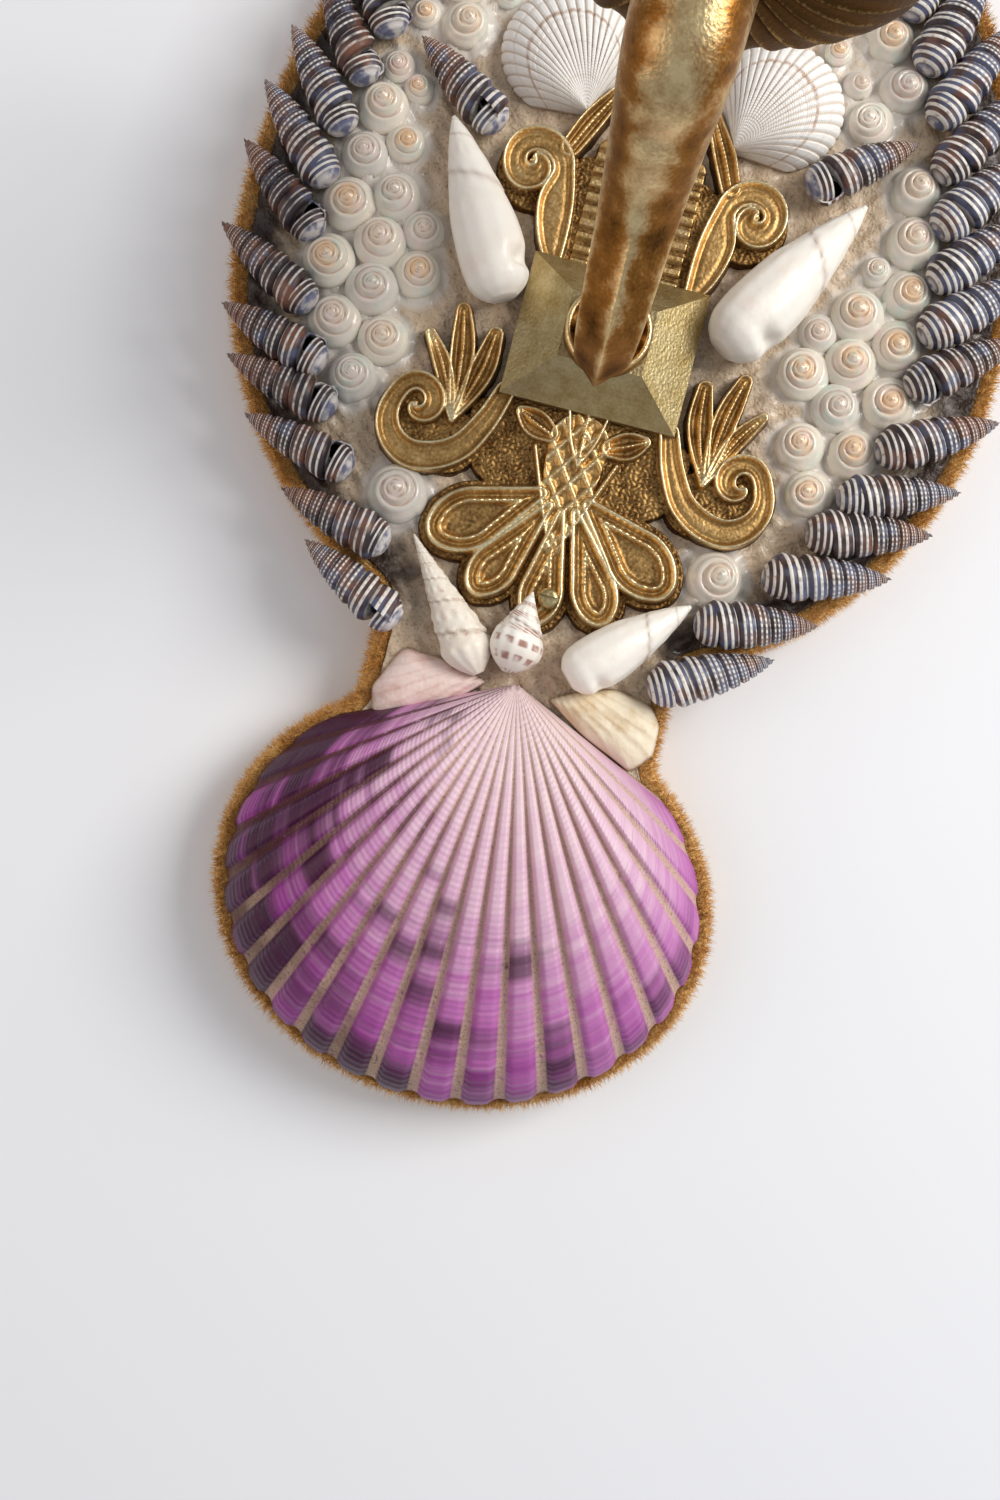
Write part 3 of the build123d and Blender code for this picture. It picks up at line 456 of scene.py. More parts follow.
@dataclass(frozen=True)
class WhiteFinish:
    """White polished shell with faint warm growth bands."""

    name: str = "white_shell"
    white: Colour = colour(247, 241, 230)
    warm: Colour = colour(232, 208, 184)
    band: Colour = colour(158, 98, 80)
    spot: Colour = colour(196, 142, 108)
    suture: Colour = colour(186, 164, 146)
    mouth: Colour = colour(150, 104, 82)
    spots: float = 0.0
    bands: float = 0.0

    def make(self) -> bpy.types.Material:
        """Mix the finish, which reads along, whorl, seam and inside.

        Returns:
            The material.
        """
        paint = Paint(self.name, {"Specular IOR Level": 0.5, "Subsurface Weight": 0.15, "Coat Roughness": 0.12,
                                  "Subsurface Radius": (0.003, 0.0022, 0.0016), "Subsurface Scale": 0.6})
        along, whorl, seam, inside = paint.read("along", "whorl", "seam", "inside")
        cloud = paint.noise(150.0, 4.0)
        tint = (along * 22.0 + cloud * 6.0).sine().step(0.2, 1.0) * 0.1 + cloud.step(0.55, 0.8) * 0.3
        skin = paint.blend(self.white, self.warm, tint)
        if self.bands:
            band = (along * (TURN * 5.5) + whorl * 1.6 + cloud * 1.6).sine()
            ribs = (whorl * (TURN * 11.0) + cloud * 1.2).sine()
            broken = paint.noise(420.0, 2.0).step(0.3, 0.6) * ribs.step(1.0, -0.3)
            skin = paint.blend(skin, self.band, band.step(-0.2, 0.6) * broken * self.bands)
        if self.spots:
            fleck = paint.noise(700.0, 3.0).step(0.6, 0.72)
            skin = paint.blend(skin, self.spot, fleck * self.spots)
        skin = paint.blend(skin, self.suture, seam * 0.45)
        skin = paint.blend(skin, self.mouth, inside.step(0.3, 1.0) * 0.85)
        rough = 0.3 + cloud * 0.16
        normal = paint.bump(paint.noise(420.0, 4.0), 0.00014)
        return paint.wear(Base_Color=skin, Roughness=rough, Normal=normal)


@dataclass(frozen=True)
class ScallopFinish:
    """Scallop that runs from a pale hinge through pink to purple, with dark blotches at its margin, deeper and darker
    towards its left side, partly its own colour and partly painted shade on the side away from the light.
    """

    name: str = "scallop_shell"
    hinge: Colour = colour(238, 212, 214)
    pink: Colour = colour(222, 182, 202)
    mauve: Colour = colour(190, 112, 174)
    streak: Colour = colour(224, 192, 208)
    purple: Colour = colour(150, 50, 138)
    dark: Colour = colour(52, 12, 34)
    sand: Colour = colour(204, 174, 150)
    amber: Colour = colour(150, 104, 52)
    umber: Colour = colour(84, 46, 40)

    def make(self) -> bpy.types.Material:
        """Mix the finish, which reads along, across, rib and ribs.

        Returns:
            The material.
        """
        paint = Paint(self.name, {"Specular IOR Level": 0.25, "Coat Roughness": 0.25})
        along, across, rib, number = paint.read("along", "across", "rib", "ribs")
        cloud = paint.noise(75.0, 4.0)
        ring = paint.streaks(number * 0.9, along * 26.0, 0.0, 3.0)
        # Towards the left side: deeper purple, more dark blotches and darker grooves, partly the shell's colour and
        # partly painted shade on the side away from the light
        side = (0.5 - across) * 1.4
        depth = along + (cloud - 0.5) * 0.22 + (ring - 0.5) * 0.35 + side * 0.3
        skin = paint.ramp(depth, [(0.08, self.hinge), (0.46, self.pink), (0.74, self.mauve), (1.0, self.purple)])
        blot = paint.streaks(number * 0.75, along * 7.0, 3.0)
        blotch = (blot + along * 0.5 + side * 0.34).step(0.86, 1.1)
        pale = paint.streaks(number * 2.4, along * 60.0, 7.0)
        skin = paint.blend(skin, self.streak, pale.step(0.5, 0.75) * 0.2)
        skin = paint.blend(skin, self.dark, blotch * 0.92)
        sandy = rib.step(-0.3, -0.85) * paint.noise(900.0, 3.0).step(0.2, 0.45)
        grit = paint.noise(2400.0, 2.0).step(0.55, 0.68)
        groove = paint.blend(self.sand, self.amber, grit * 0.7)
        # Grooves darker towards the left: partly their own colour, partly painted shade on the side away from the light
        groove = paint.blend(groove, self.umber, (side + cloud - 0.5).step(0.0, 0.6))
        skin = paint.blend(skin, groove, sandy * 0.85)
        rough = 0.36 + sandy * 0.4 + (paint.noise(1200.0) - 0.5) * 0.15
        scale_rows = (along * 420.0 + cloud * 6.0).sine()
        grains = paint.noise(3000.0, 2.0)
        normal = paint.bump(scale_rows * 0.35 + grains * sandy * 2.0 + paint.noise(700.0, 4.0), 0.00012)
        coat = 0.03 + 0.1 * rib.step(-0.2, 0.6)
        return paint.wear(Base_Color=skin, Roughness=rough, Normal=normal, Coat_Weight=coat)


@dataclass(frozen=True)
class CockleFinish:
    """White ribbed valve with thin brown growth lines."""

    name: str = "cockle_shell"
    white: Colour = colour(246, 243, 238)
    brown: Colour = colour(168, 122, 84)
    groove: Colour = colour(196, 172, 146)

    def make(self) -> bpy.types.Material:
        """Mix the finish, which reads along and rib.

        Returns:
            The material.
        """
        paint = Paint(self.name, {"Specular IOR Level": 0.4})
        along, rib = paint.read("along", "rib")
        cloud = paint.noise(160.0, 4.0)
        rings = (along * 30.0 + cloud * 2.5).sine().step(0.86, 1.0)
        wide = (along + (cloud - 0.5) * 0.06 - 0.7).size().step(0.03, 0.0)
        stain = (rings * 0.12 + wide * 0.75) * paint.noise(500.0, 3.0).step(0.3, 0.55)
        skin = paint.blend(self.white, self.brown, stain)
        skin = paint.blend(skin, self.groove, rib.step(0.0, -0.8) * 0.6)
        rough = 0.55 + (cloud - 0.5) * 0.2
        normal = paint.bump((along * 300.0).sine() * 0.3 + paint.noise(1200.0, 3.0), 0.0001)
        return paint.wear(Base_Color=skin, Roughness=rough, Normal=normal)


@dataclass(frozen=True)
class ShardFinish:
    """Broken piece of shell with fine ribs."""

    name: str
    skin: Colour
    shade: Colour

    def make(self) -> bpy.types.Material:
        """Mix the finish, which reads the point attribute along.

        Returns:
            The material.
        """
        paint = Paint(self.name, {"Specular IOR Level": 0.45})
        lines = (paint.read("along")[0] * 70.0 + paint.noise(200.0) * 5.0).sine()
        cloud = paint.noise(240.0, 4.0)
        tone = paint.blend(self.skin, self.shade, cloud.step(0.45, 0.75) * 0.7 + lines.step(0.4, 1.0) * 0.25)
        normal = paint.bump(lines * 0.5 + paint.noise(900.0, 3.0), 0.00016)
        return paint.wear(Base_Color=tone, Roughness=0.45 + cloud * 0.2, Normal=normal)


@dataclass(frozen=True)
class GlueFinish:
    """Old glue: sandy and honey coloured among the small shells, dark near the border, partly its own colour and partly
    painted shade in the gaps between the horn shells.
    """

    name: str = "glue"
    honey: Colour = colour(202, 180, 152)
    sand: Colour = colour(150, 122, 94)
    milk: Colour = colour(214, 205, 193)
    dark: Colour = colour(62, 46, 36)

    def make(self) -> bpy.types.Material:
        """Mix the finish, which reads the point attributes edge and rise.

        Returns:
            The material.
        """
        paint = Paint(self.name, {"Specular IOR Level": 0.5, "Coat Roughness": 0.15})
        edge, rise = paint.read("edge", "rise")
        cloud, sand = paint.noise(190.0, 4.0), paint.noise(1500.0, 3.0)
        tone = paint.blend(self.honey, self.sand, sand.step(0.52, 0.7) * 0.6)
        # Dark near the border: partly the glue's colour, partly painted shade in the gaps between the horn shells
        tone = paint.blend(tone, self.dark, (edge + (cloud - 0.5) * 0.6).step(0.3, 0.7))
        milky = (cloud * 0.5 + rise * 0.9).step(0.28, 0.62)
        tone = paint.blend(tone, self.milk, milky)
        normal = paint.bump((sand + paint.cells(900.0) * 0.5) * (1.0 - milky * 0.85) + cloud * 1.5, 0.0004)
        coat = paint.noise(320.0).step(0.45, 0.65) * 0.5 + milky * 0.4
        return paint.wear(Base_Color=tone, Roughness=0.4 + sand * 0.2, Coat_Weight=coat, Normal=normal)


@dataclass(frozen=True)
class VelvetFinish:
    """Gold velvet with a brushed pile."""

    name: str = "velvet"
    gold: Colour = colour(246, 204, 132)
    deep: Colour = colour(208, 144, 64)
    sheen: Colour = colour(246, 214, 150)

    def make(self) -> bpy.types.Material:
        """Mix the finish, with the sheen of a short pile.

        Returns:
            The material.
        """
        paint = Paint(self.name, {"Specular IOR Level": 0.15, "Sheen Weight": 0.7, "Sheen Roughness": 0.4,
                                  "Sheen Tint": self.sheen})
        brushed, pile = paint.noise(220.0, 4.0), paint.noise(2400.0, 3.0)
        tone = paint.blend(self.deep, self.gold, (brushed * 0.7 + pile * 0.5).step(0.35, 0.78))
        normal = paint.bump(pile + brushed * 0.6, 0.0005)
        return paint.wear(Base_Color=tone, Roughness=0.85 + (pile - 0.5) * 0.15, Normal=normal)


@dataclass(frozen=True)
class SteelFinish:
    """Zinc plated steel with fine scratches."""

    name: str = "zinc_steel"
    tone: Colour = colour(188, 188, 186)
    spangle: Colour = colour(132, 132, 134)

    def make(self) -> bpy.types.Material:
        """Mix the finish, with brushed lines across.

        Returns:
            The material.
        """
        paint = Paint(self.name, {"Metallic": 1.0})
        lines = paint.noise(300.0, 4.0, paint.place((1.0, 1.0, 14.0)))
        spangle = paint.cells(420.0)
        tone = paint.blend(self.tone, self.spangle, spangle.step(0.2, 0.8) * 0.5)
        normal = paint.bump(lines, 0.00005)
        return paint.wear(Base_Color=tone, Roughness=0.32 + lines * 0.2, Normal=normal)


@dataclass(frozen=True)
class WoodFinish:
    """Bare softwood with grain along its height."""

    name: str = "softwood"
    pale: Colour = colour(190, 148, 100)
    late: Colour = colour(130, 88, 50)

    def make(self) -> bpy.types.Material:
        """Mix the finish, with rings stretched up the board.

        Returns:
            The material.
        """
        paint = Paint(self.name, {"Specular IOR Level": 0.3})
        grain = paint.noise(180.0, 5.0, paint.place((1.0, 1.0, 0.06)))
        tone = paint.blend(self.pale, self.late, (grain * 9.0).sine().step(0.0, 1.0) * 0.7)
        return paint.wear(Base_Color=tone, Roughness=0.6 + grain * 0.2, Normal=paint.bump(grain, 0.0003))


# Mesh building

class Ends(Enum):
    """Ends of a grid that are closed by a fan, as the rows they stand for."""

    NONE = ()
    LAST = (-1,)
    BOTH = (0, -1)


class Piece:
    """A mesh in the making: grids of points with point attributes, in the wall's millimetres."""

    def __init__(self, name: str) -> None:
        """Start an empty piece with a name.

        Args:
            name: the name of the object to be.
        """
        self.name = name
        self.points: List[np.ndarray] = []
        self.quads: List[np.ndarray] = []
        self.triangles: List[np.ndarray] = []
        self.values: List[Dict[str, np.ndarray]] = []
        self.count = 0

    def _store(self, points: np.ndarray, values: Dict[str, np.ndarray]) -> None:
        """Keep points, with their attributes.

        Args:
            points: points by 3.
            values: point attributes by name.
        """
        self.points.append(points)
        self.values.append(values)
        self.count += len(points)

    def grid(self, points: np.ndarray, ring: bool = False, caps: Ends = Ends.NONE, **values: Any) -> np.ndarray:
        """Add a grid of points.

        Args:
            points: rows by columns by 3.
            ring: whether each row closes on itself.
            caps: ends that are closed.
            **values: point attributes, each as one number or rows by columns.

        Returns:
            The numbers of the points, rows by columns.
        """
        rows, columns = points.shape[:2]
        index = self.count + np.arange(rows * columns).reshape(rows, columns)
        across = np.concatenate([index, index[:, :1]], axis=1) if ring else index
        quads = np.stack([across[:-1, :-1], across[:-1, 1:], across[1:, 1:], across[1:, :-1]], axis=-1)
        self.quads.append(quads.reshape(-1, 4))
        full = {key: np.broadcast_to(np.asarray(value, float), (rows, columns)) for key, value in values.items()}
        self._store(points.reshape(-1, 3), {key: value.reshape(-1) for key, value in full.items()})
        for row in caps.value:
            self.fan(across[row], points[row].mean(axis=0), {key: value[row].mean() for key, value in full.items()})
        return index

    def fan(self, rim: np.ndarray, middle: np.ndarray, values: Dict[str, float]) -> None:
        """Close a rim of point numbers with triangles to a middle point.

        Args:
            rim: numbers of the rim's points, the first one again at the end.
            middle: the middle point.
            values: point attributes of the middle.
        """
        centre = np.full(len(rim) - 1, self.count)
        self.triangles.append(np.stack([rim[:-1], rim[1:], centre], axis=-1))
        self._store(middle.reshape(1, 3), {key: np.array([value]) for key, value in values.items()})

    def patch(self, points: np.ndarray, keep: np.ndarray, **values: np.ndarray) -> None:
        """Add the cells of a grid that touch a point to keep.

        Args:
            points: rows by columns by 3.
            keep: rows by columns, true where the surface is wanted.
            **values: point attributes, rows by columns.
        """
        index = np.arange(keep.size).reshape(keep.shape)
        cells = np.stack([index[:-1, :-1], index[:-1, 1:], index[1:, 1:], index[1:, :-1]], axis=-1).reshape(-1, 4)
        cells = cells[keep.ravel()[cells].any(axis=1)]
        used, again = np.unique(cells, return_inverse=True)
        self.quads.append(self.count + again.reshape(-1, 4))
        self._store(points.reshape(-1, 3)[used], {key: value.ravel()[used] for key, value in values.items()})

    def blades(self, corners: np.ndarray) -> None:
        """Add loose triangles, as blades by 3 by 3."""
        self.triangles.append(self.count + np.arange(corners.shape[0] * 3).reshape(-1, 3))
        self._store(corners.reshape(-1, 3), {})

    def build(self, material: bpy.types.Material, slot: str, body: str = PLAQUE, closed: bool = True,
              sharp: float = 180.0) -> bpy.types.Object:
        """Make the object.

        Args:
            material: its finish.
            slot: the record's material slot; not used.
            body: the body it rides on.
            closed: whether its faces are turned to point out.
            sharp: angle in degrees above which edges stay sharp.

        Returns:
            The new object.
        """
        mesh = bpy.data.meshes.new(self.name)
        faces = [face for part in self.quads + self.triangles for face in part.tolist()]
        mesh.from_pydata(to_frame(np.concatenate(self.points)).tolist(), [], faces)
        names = {key for values in self.values for key in values}
        for key in sorted(names):
            parts = [v.get(key, np.zeros(len(p))) for v, p in zip(self.values, self.points)]
            layer = mesh.attributes.new(key, "FLOAT", "POINT")
            layer.data.foreach_set("value", np.concatenate(parts).astype(np.float32))
        if closed:
            work = bmesh.new()
            work.from_mesh(mesh)
            bmesh.ops.recalc_face_normals(work, faces=work.faces)
            work.to_mesh(mesh)
            work.free()
        mesh.shade_smooth()
        if sharp < 180.0:
            mesh.set_sharp_from_angle(angle=math.radians(sharp))
        mesh.materials.append(material)
        made = add_object(self.name, mesh)
        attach(made, body)
        LOG.info("%s: %d faces", self.name, len(faces))
        return made


def solids(node: str) -> List[np.ndarray]:
    """Points of each solid of a CAD node.

    Args:
        node: the node's name.

    Returns:
        One array of the wall's millimetres for each solid.
    """
    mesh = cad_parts[node].data
    places = np.empty(len(mesh.vertices) * 3)
    mesh.vertices.foreach_get("co", places)
    places = from_frame(places.reshape(-1, 3))
    unique, index = np.unique(np.round(places, 3), axis=0, return_inverse=True)
    edges = np.empty(len(mesh.edges) * 2, dtype=np.int64)
    mesh.edges.foreach_get("vertices", edges)
    ends = index.reshape(-1)[edges].reshape(-1, 2)
    label = np.arange(len(unique))
    while True:
        least = np.minimum(label[ends[:, 0]], label[ends[:, 1]])
        after = label.copy()
        np.minimum.at(after, ends[:, 0], least)
        np.minimum.at(after, ends[:, 1], least)
        after = after[after]
        if np.array_equal(after, label):
            break
        label = after
    return [unique[label == key] for key in np.unique(label)]


@dataclass(frozen=True)
class Lie:
    """How a long shell lies on the bed: its base, its turn on the wall, its length and its radius."""

    base: Point
    turn: float
    length: float
    radius: float
    floor: float

    @classmethod
    def of(cls, points: np.ndarray) -> "Lie":
        """Read it from a solid's points: the slender end is the tip.

        Args:
            points: the solid's points, by 3.

        Returns:
            How the solid lies.
        """
        plan = points[:, :2]
        middle = plan.mean(axis=0)
        axis = np.linalg.svd(plan - middle, full_matrices=False)[2][0]
        side = np.array([-axis[1], axis[0]])
        along, across = (plan - middle) @ axis, (plan - middle) @ side
        reach = np.ptp(along)
        low = np.ptp(across[along < along.min() + 0.2 * reach])
        high = np.ptp(across[along > along.max() - 0.2 * reach])
        if high > low:
            axis, along = -axis, -along
        centre = middle + side * 0.5 * (across.min() + across.max())
        base = centre + axis * along.min()
        turn = math.atan2(axis[1], axis[0])
        return cls((base[0], base[1]), turn, float(reach), float(np.ptp(across)) / 2, float(points[:, 2].min()))

    def put(self, points: np.ndarray, lift: float, dip: float = 0.0) -> np.ndarray:
        """Points drawn along +x from the base, laid on the bed.

        Args:
            points: points with x along the shell and z away from the bed.
            lift: height of the axis above the bed.
            dip: fall of the axis towards the tip, in mm a mm.

        Returns:
            The same points in the wall's millimetres.
        """
        c, s = math.cos(self.turn), math.sin(self.turn)
        x = self.base[0] + c * points[..., 0] - s * points[..., 1]
        y = self.base[1] + s * points[..., 0] + c * points[..., 1]
        z = self.floor + lift + points[..., 2] - dip * points[..., 0]
        return np.stack([x, y, z], axis=-1)


@dataclass(frozen=True)
class Coil:
    """A coiled shell as one tube on a growing helix, told for a last whorl of unit outer radius.

    Attributes:
        turns: number of whorls.
        growth: size of a whorl against the one before.
        spire: height of the spire.
        thick: half thickness of the tube.
        square: how square its section is, 2 being round.
        overlap: how far whorls cover each other.
        cords: spiral cords on a whorl.
        cord_rise: their height.
        steps: rings a turn.
        face: points on the face that shows.
        face_angle: half the angle of that face in degrees.
        back: points behind it.
        mouth_depth: depth of the mouth in turns.
        base_radius: radius of the base.
        base_rise: its height.
        base_pale: slope where it turns pale.
    """

    turns: float
    growth: float
    spire: float
    thick: float = 0.52
    square: float = 2.4
    overlap: float = 1.08
    cords: float = 0.0
    cord_rise: float = 0.0
    steps: int = 26
    face: int = 18
    face_angle: float = 105.0
    back: int = 6
    mouth_depth: float = 0.3
    base_radius: float = 0.9
    base_rise: float = 0.32
    base_pale: float = 0.9

    @property
    def tall(self) -> float:
        """Half height of the last whorl, so that each whorl just covers the edge of the one before."""
        pitch = (1.0 - 1.0 / self.growth) * math.hypot(self.spire, 1.0 - self.thick)
        return self.overlap * pitch / (1.0 + 1.0 / self.growth)

    @property
    def length(self) -> float:
        """Distance from the base to the tip."""
        least = self.growth ** -self.turns
        return self.spire * (1.0 - least) + self.tall * (1.0 + least)

    def _section(self) -> np.ndarray:
        """Angles round the tube, close together on the face that shows.

        Returns:
            The angles in radians.
        """
        half = math.radians(self.face_angle)
        front = np.linspace(-half, half, self.face)
        rear = np.linspace(half, TURN - half, self.back + 2)[1:-1]
        return np.concatenate([front, rear])

    def _rings(self, turn: np.ndarray, scale: float, start: float) -> Tuple[np.ndarray, np.ndarray, np.ndarray]:
        """Rings of the tube at some turns.

        Args:
            turn: number of turns from the apex, for each ring.
            scale: thickness of the tube against the outer wall.
            start: angle of the mouth round the axis, in radians.

        Returns:
            Points, place across the whorl's face from -1 to 1, and size of each ring.
        """
        phi = self._section()[None, :]
        size = self.growth ** (turn - self.turns)[:, None]
        least = self.growth ** -self.turns
        full = (1.0 - (1.0 - (size - least) / (1.0 - least)) ** 2.2) ** 0.8
        out, up = bent(np.cos(phi), 2.0 / self.square), bent(np.sin(phi), 2.0 / self.square)
        ridge = 1.0 + self.cord_rise * smooth(np.cos(phi), -0.1, 0.5) * np.cos(self.cords * math.pi * up)
        tilt = math.atan2(1.0, self.spire + self.tall)
        wide, high = self.thick * scale * out * ridge, self.tall * scale * up
        radial = (1.0 - self.thick + math.cos(tilt) * wide - math.sin(tilt) * high) * full
        along = self.spire + self.tall + (math.sin(tilt) * wide + math.cos(tilt) * high - self.spire) * size
        angle = start - TURN * (turn - self.turns)[:, None]
        points = np.stack([along, radial * np.cos(angle), radial * np.sin(angle)], axis=-1)
        return points, np.broadcast_to(up, radial.shape), np.broadcast_to(size, radial.shape)

    def draw(self, piece: Piece, place: Callable[[np.ndarray], np.ndarray], start: float, tone: float,
             gaping: bool = True) -> None:
        """Add the shell to a piece.

        Args:
            piece: the piece to add to.
            place: turns unit points into the wall's millimetres.
            start: angle of the mouth round the axis, in radians.
            tone: number that varies the finish from shell to shell.
            gaping: whether the mouth is open rather than rounded off.
        """
        turn = np.linspace(0.0, self.turns, int(self.turns * self.steps) + 1)
        back = self.turns - self.mouth_depth * np.array([0.0, 0.0, 0.12, 0.35, 0.65, 1.0])
        shares = (0.96, 0.86, 0.82, 0.8, 0.76, 0.68)
        # Depth of each mouth ring: the first rings take the pale lip, the deeper ones painted shade
        hollow = np.array([0.25, 0.35, 0.6, 0.8, 0.95, 1.0])
        if not gaping:
            back = self.turns + np.array([0.02, 0.045, 0.065, 0.08, 0.09, 0.095])
            shares, hollow = (0.97, 0.9, 0.78, 0.6, 0.38, 0.15), 0.0 * hollow
        rings = [self._rings(turn, 1.0, start)]
        rings += [self._rings(back[k:k + 1], share, start) for k, share in enumerate(shares)]
        points, across, size = [np.concatenate([ring[k] for ring in rings]) for k in range(3)]
        whole = np.ones_like(across)
        depth = np.concatenate([np.zeros(len(turn)), hollow])[:, None] * whole
        piece.grid(place(points), ring=True, caps=Ends.BOTH, across=across, size=size, inside=depth, tone=tone,
                   turn=np.concatenate([turn, back])[:, None] * whole)
        self._base(piece, place, tone)

    def _base(self, piece: Piece, place: Callable[[np.ndarray], np.ndarray], tone: float) -> None:
        """Add the rounded base below the last whorl.

        Args:
            piece: the piece to add to.
            place: turns unit points into the wall's millimetres.
            tone: number that varies the finish from shell to shell.
        """
        slope = np.linspace(0.0, 0.49 * math.pi, 14)[:, None]
        way = circle(40)
        swell = self.base_radius * np.cos(slope) ** 0.8
        along = 1.1 * self.tall - (1.1 * self.tall + self.base_rise) * np.sin(slope)
        base = np.stack([along + 0.0 * way, swell * np.cos(way), swell * np.sin(way)], axis=-1)
        pale = 0.24 * smooth(slope, self.base_pale, self.base_pale + 0.6)
        piece.grid(place(base), ring=True, caps=Ends.LAST, across=2.4 * np.sin(slope), size=1.0, inside=pale, tone=tone,
                   turn=way / TURN)


# Shell groups

@dataclass
class HornShells:
    """A group of horn shells laid side by side on the bed.

    Attributes:
        node: the CAD node.
        finish: the material.
        seed: what the small differences come from.
        fat: radius against the CAD's.
        pale: range of tones, from thin to broad pale cords.
        mouths: turns of the mouths away from the room, open up to 1 radian.
        mouth: angle of a mouth that faces the room.
        rise: height of the base.
        bare: slope where the base turns pale.
        slot: the record's material slot.
    """

    node: str
    finish: bpy.types.Material
    seed: int
    fat: float = 1.14
    pale: Point = (0.0, 0.5)
    mouths: Sequence[float] = (0.0, 0.5, 1.7, -1.5, 2.4)
    mouth: float = math.pi - 0.35
    rise: float = 0.2
    bare: float = 0.3
    slot: str = "horn_shell"

    def build(self) -> None:
        """Build the group as one piece that stands for its node."""
        rng = np.random.default_rng(self.seed)
        piece = Piece(self.node.replace("shell", "snail"))
        for points in solids(self.node):
            lie = Lie.of(points)
            radius = lie.radius * self.fat * rng.uniform(0.96, 1.04)
            length = lie.length * rng.uniform(1.06, 1.12)
            coil = Coil(turns=rng.uniform(8.2, 9.6), growth=rng.uniform(1.21, 1.27), spire=length / radius,
                        square=2.9, cords=float(rng.choice([3, 4])), cord_rise=0.05, base_rise=self.rise,
                        base_pale=self.bare)
            stretch = np.array([length / coil.length, radius, radius])
            away = float(rng.choice(self.mouths))
            start = self.mouth + away + rng.normal(0.0, 0.25)
            coil.draw(piece, lambda p: lie.put(p * stretch, 0.8 * radius, 0.05), start, rng.uniform(*self.pale),
                      abs(away) < 1.0)
        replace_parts(piece.build(self.finish, self.slot), self.node)


@dataclass
class TopShells:
    """A group of pearly button tops standing on the bed.

    Attributes:
        node: the CAD node.
        finish: the material.
        seed: what the small differences come from.
        swell: radius against the CAD's.
        under: angle in degrees down to which the dome goes.
        low: height of the dome against its radius.
        spire: shares of the radius where the spire fades.
        seam: width of the suture.
        rows: points down the dome.
        columns: points round it.
        slot: the record's material slot.
    """

    node: str
    finish: bpy.types.Material
    seed: int
    swell: float = 1.13
    under: float = 118.0
    low: float = 0.44
    spire: Point = (0.66, 0.84)
    seam: float = 0.07
    rows: int = 46
    columns: int = 64
    slot: str = "pearl_shell"

    def build(self) -> None:
        """Build the group as one piece that stands for its node."""
        rng = np.random.default_rng(self.seed)
        piece = Piece(self.node.replace("shells", "buttons"))
        for points in solids(self.node):
            low, high = points.min(axis=0), points.max(axis=0)
            radius = 0.5 * (high[0] - low[0]) * self.swell * rng.uniform(0.9, 1.06)
            self._draw(piece, 0.5 * (low + high)[:2], low[2], radius, rng)
        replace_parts(piece.build(self.finish, self.slot), self.node)

    def _draw(self, piece: Piece, middle: np.ndarray, floor: float, radius: float, rng: np.random.Generator) -> None:
        """Add one shell: a dome with its suture wound to a low spire.

        Args:
            piece: the piece to add to.
            middle: where it stands.
            floor: height of the bed.
            radius: its outer radius.
            rng: source of its small differences.
        """
        slope = np.linspace(0.004, 1.0, self.rows)[:, None] * math.radians(self.under)
        turn = (np.arange(self.columns) / self.columns)[None, :]
        reach = np.sin(slope)
        top = slope < 0.5 * math.pi
        winding = np.log(np.maximum(reach, 0.02)) / math.log(rng.uniform(1.6, 1.85)) + turn
        part = winding - np.floor(winding)
        spire = np.where(top, 1.0 - smooth(reach, *self.spire), 0.0)
        seam = bell(np.minimum(part, 1.0 - part), 0.0, self.seam) * spire
        bulge = spire * (0.13 * np.sin(math.pi * part) ** 0.8 - 0.06) * np.minimum(reach * 2.5, 1.0)
        tall = rng.uniform(0.3, 0.46)
        up = self.low * np.cos(slope) + np.where(top, tall * (1.0 - reach) ** 1.5, 0.0) + bulge
        out = reach * (1.0 + 0.08 * (turn - 0.5) * smooth(slope, 0.7, 1.4))
        way = TURN * turn * rng.choice([-1.0, 1.0]) + rng.uniform(0.0, TURN)
        side = rng.normal(2.0, 0.7)
        lean = rng.uniform(0.1, 0.32) * np.array([math.cos(side), math.sin(side)])
        x = middle[0] + radius * (out * np.cos(way) + up * lean[0])
        y = middle[1] + radius * (out * np.sin(way) + up * lean[1])
        z = floor + radius * (up + 0.14)
        piece.grid(np.stack([x, y, z], axis=-1), ring=True, caps=Ends.BOTH, size=reach + 0.0 * turn, seam=seam,
                   tone=rng.uniform(0.0, 1.0))


def hermite(share: np.ndarray, stations: np.ndarray) -> np.ndarray:
    """Smooth curve through stations.

    Args:
        share: where to read the curve.
        stations: rows of place and values, in rising order of place.

    Returns:
        The values, one row for each share.
    """
    place, values = stations[:, 0], stations[:, 1:]
    slopes = np.gradient(values, place, axis=0)
    spot = np.clip(np.searchsorted(place, share, side="right") - 1, 0, len(place) - 2)
    span = (place[spot + 1] - place[spot])[:, None]
    t = (share - place[spot])[:, None] / span
    start = values[spot] * (1 + 2 * t) * (1 - t) ** 2 + slopes[spot] * span * t * (1 - t) ** 2
    return start + values[spot + 1] * t * t * (3 - 2 * t) + slopes[spot + 1] * span * t * t * (t - 1)


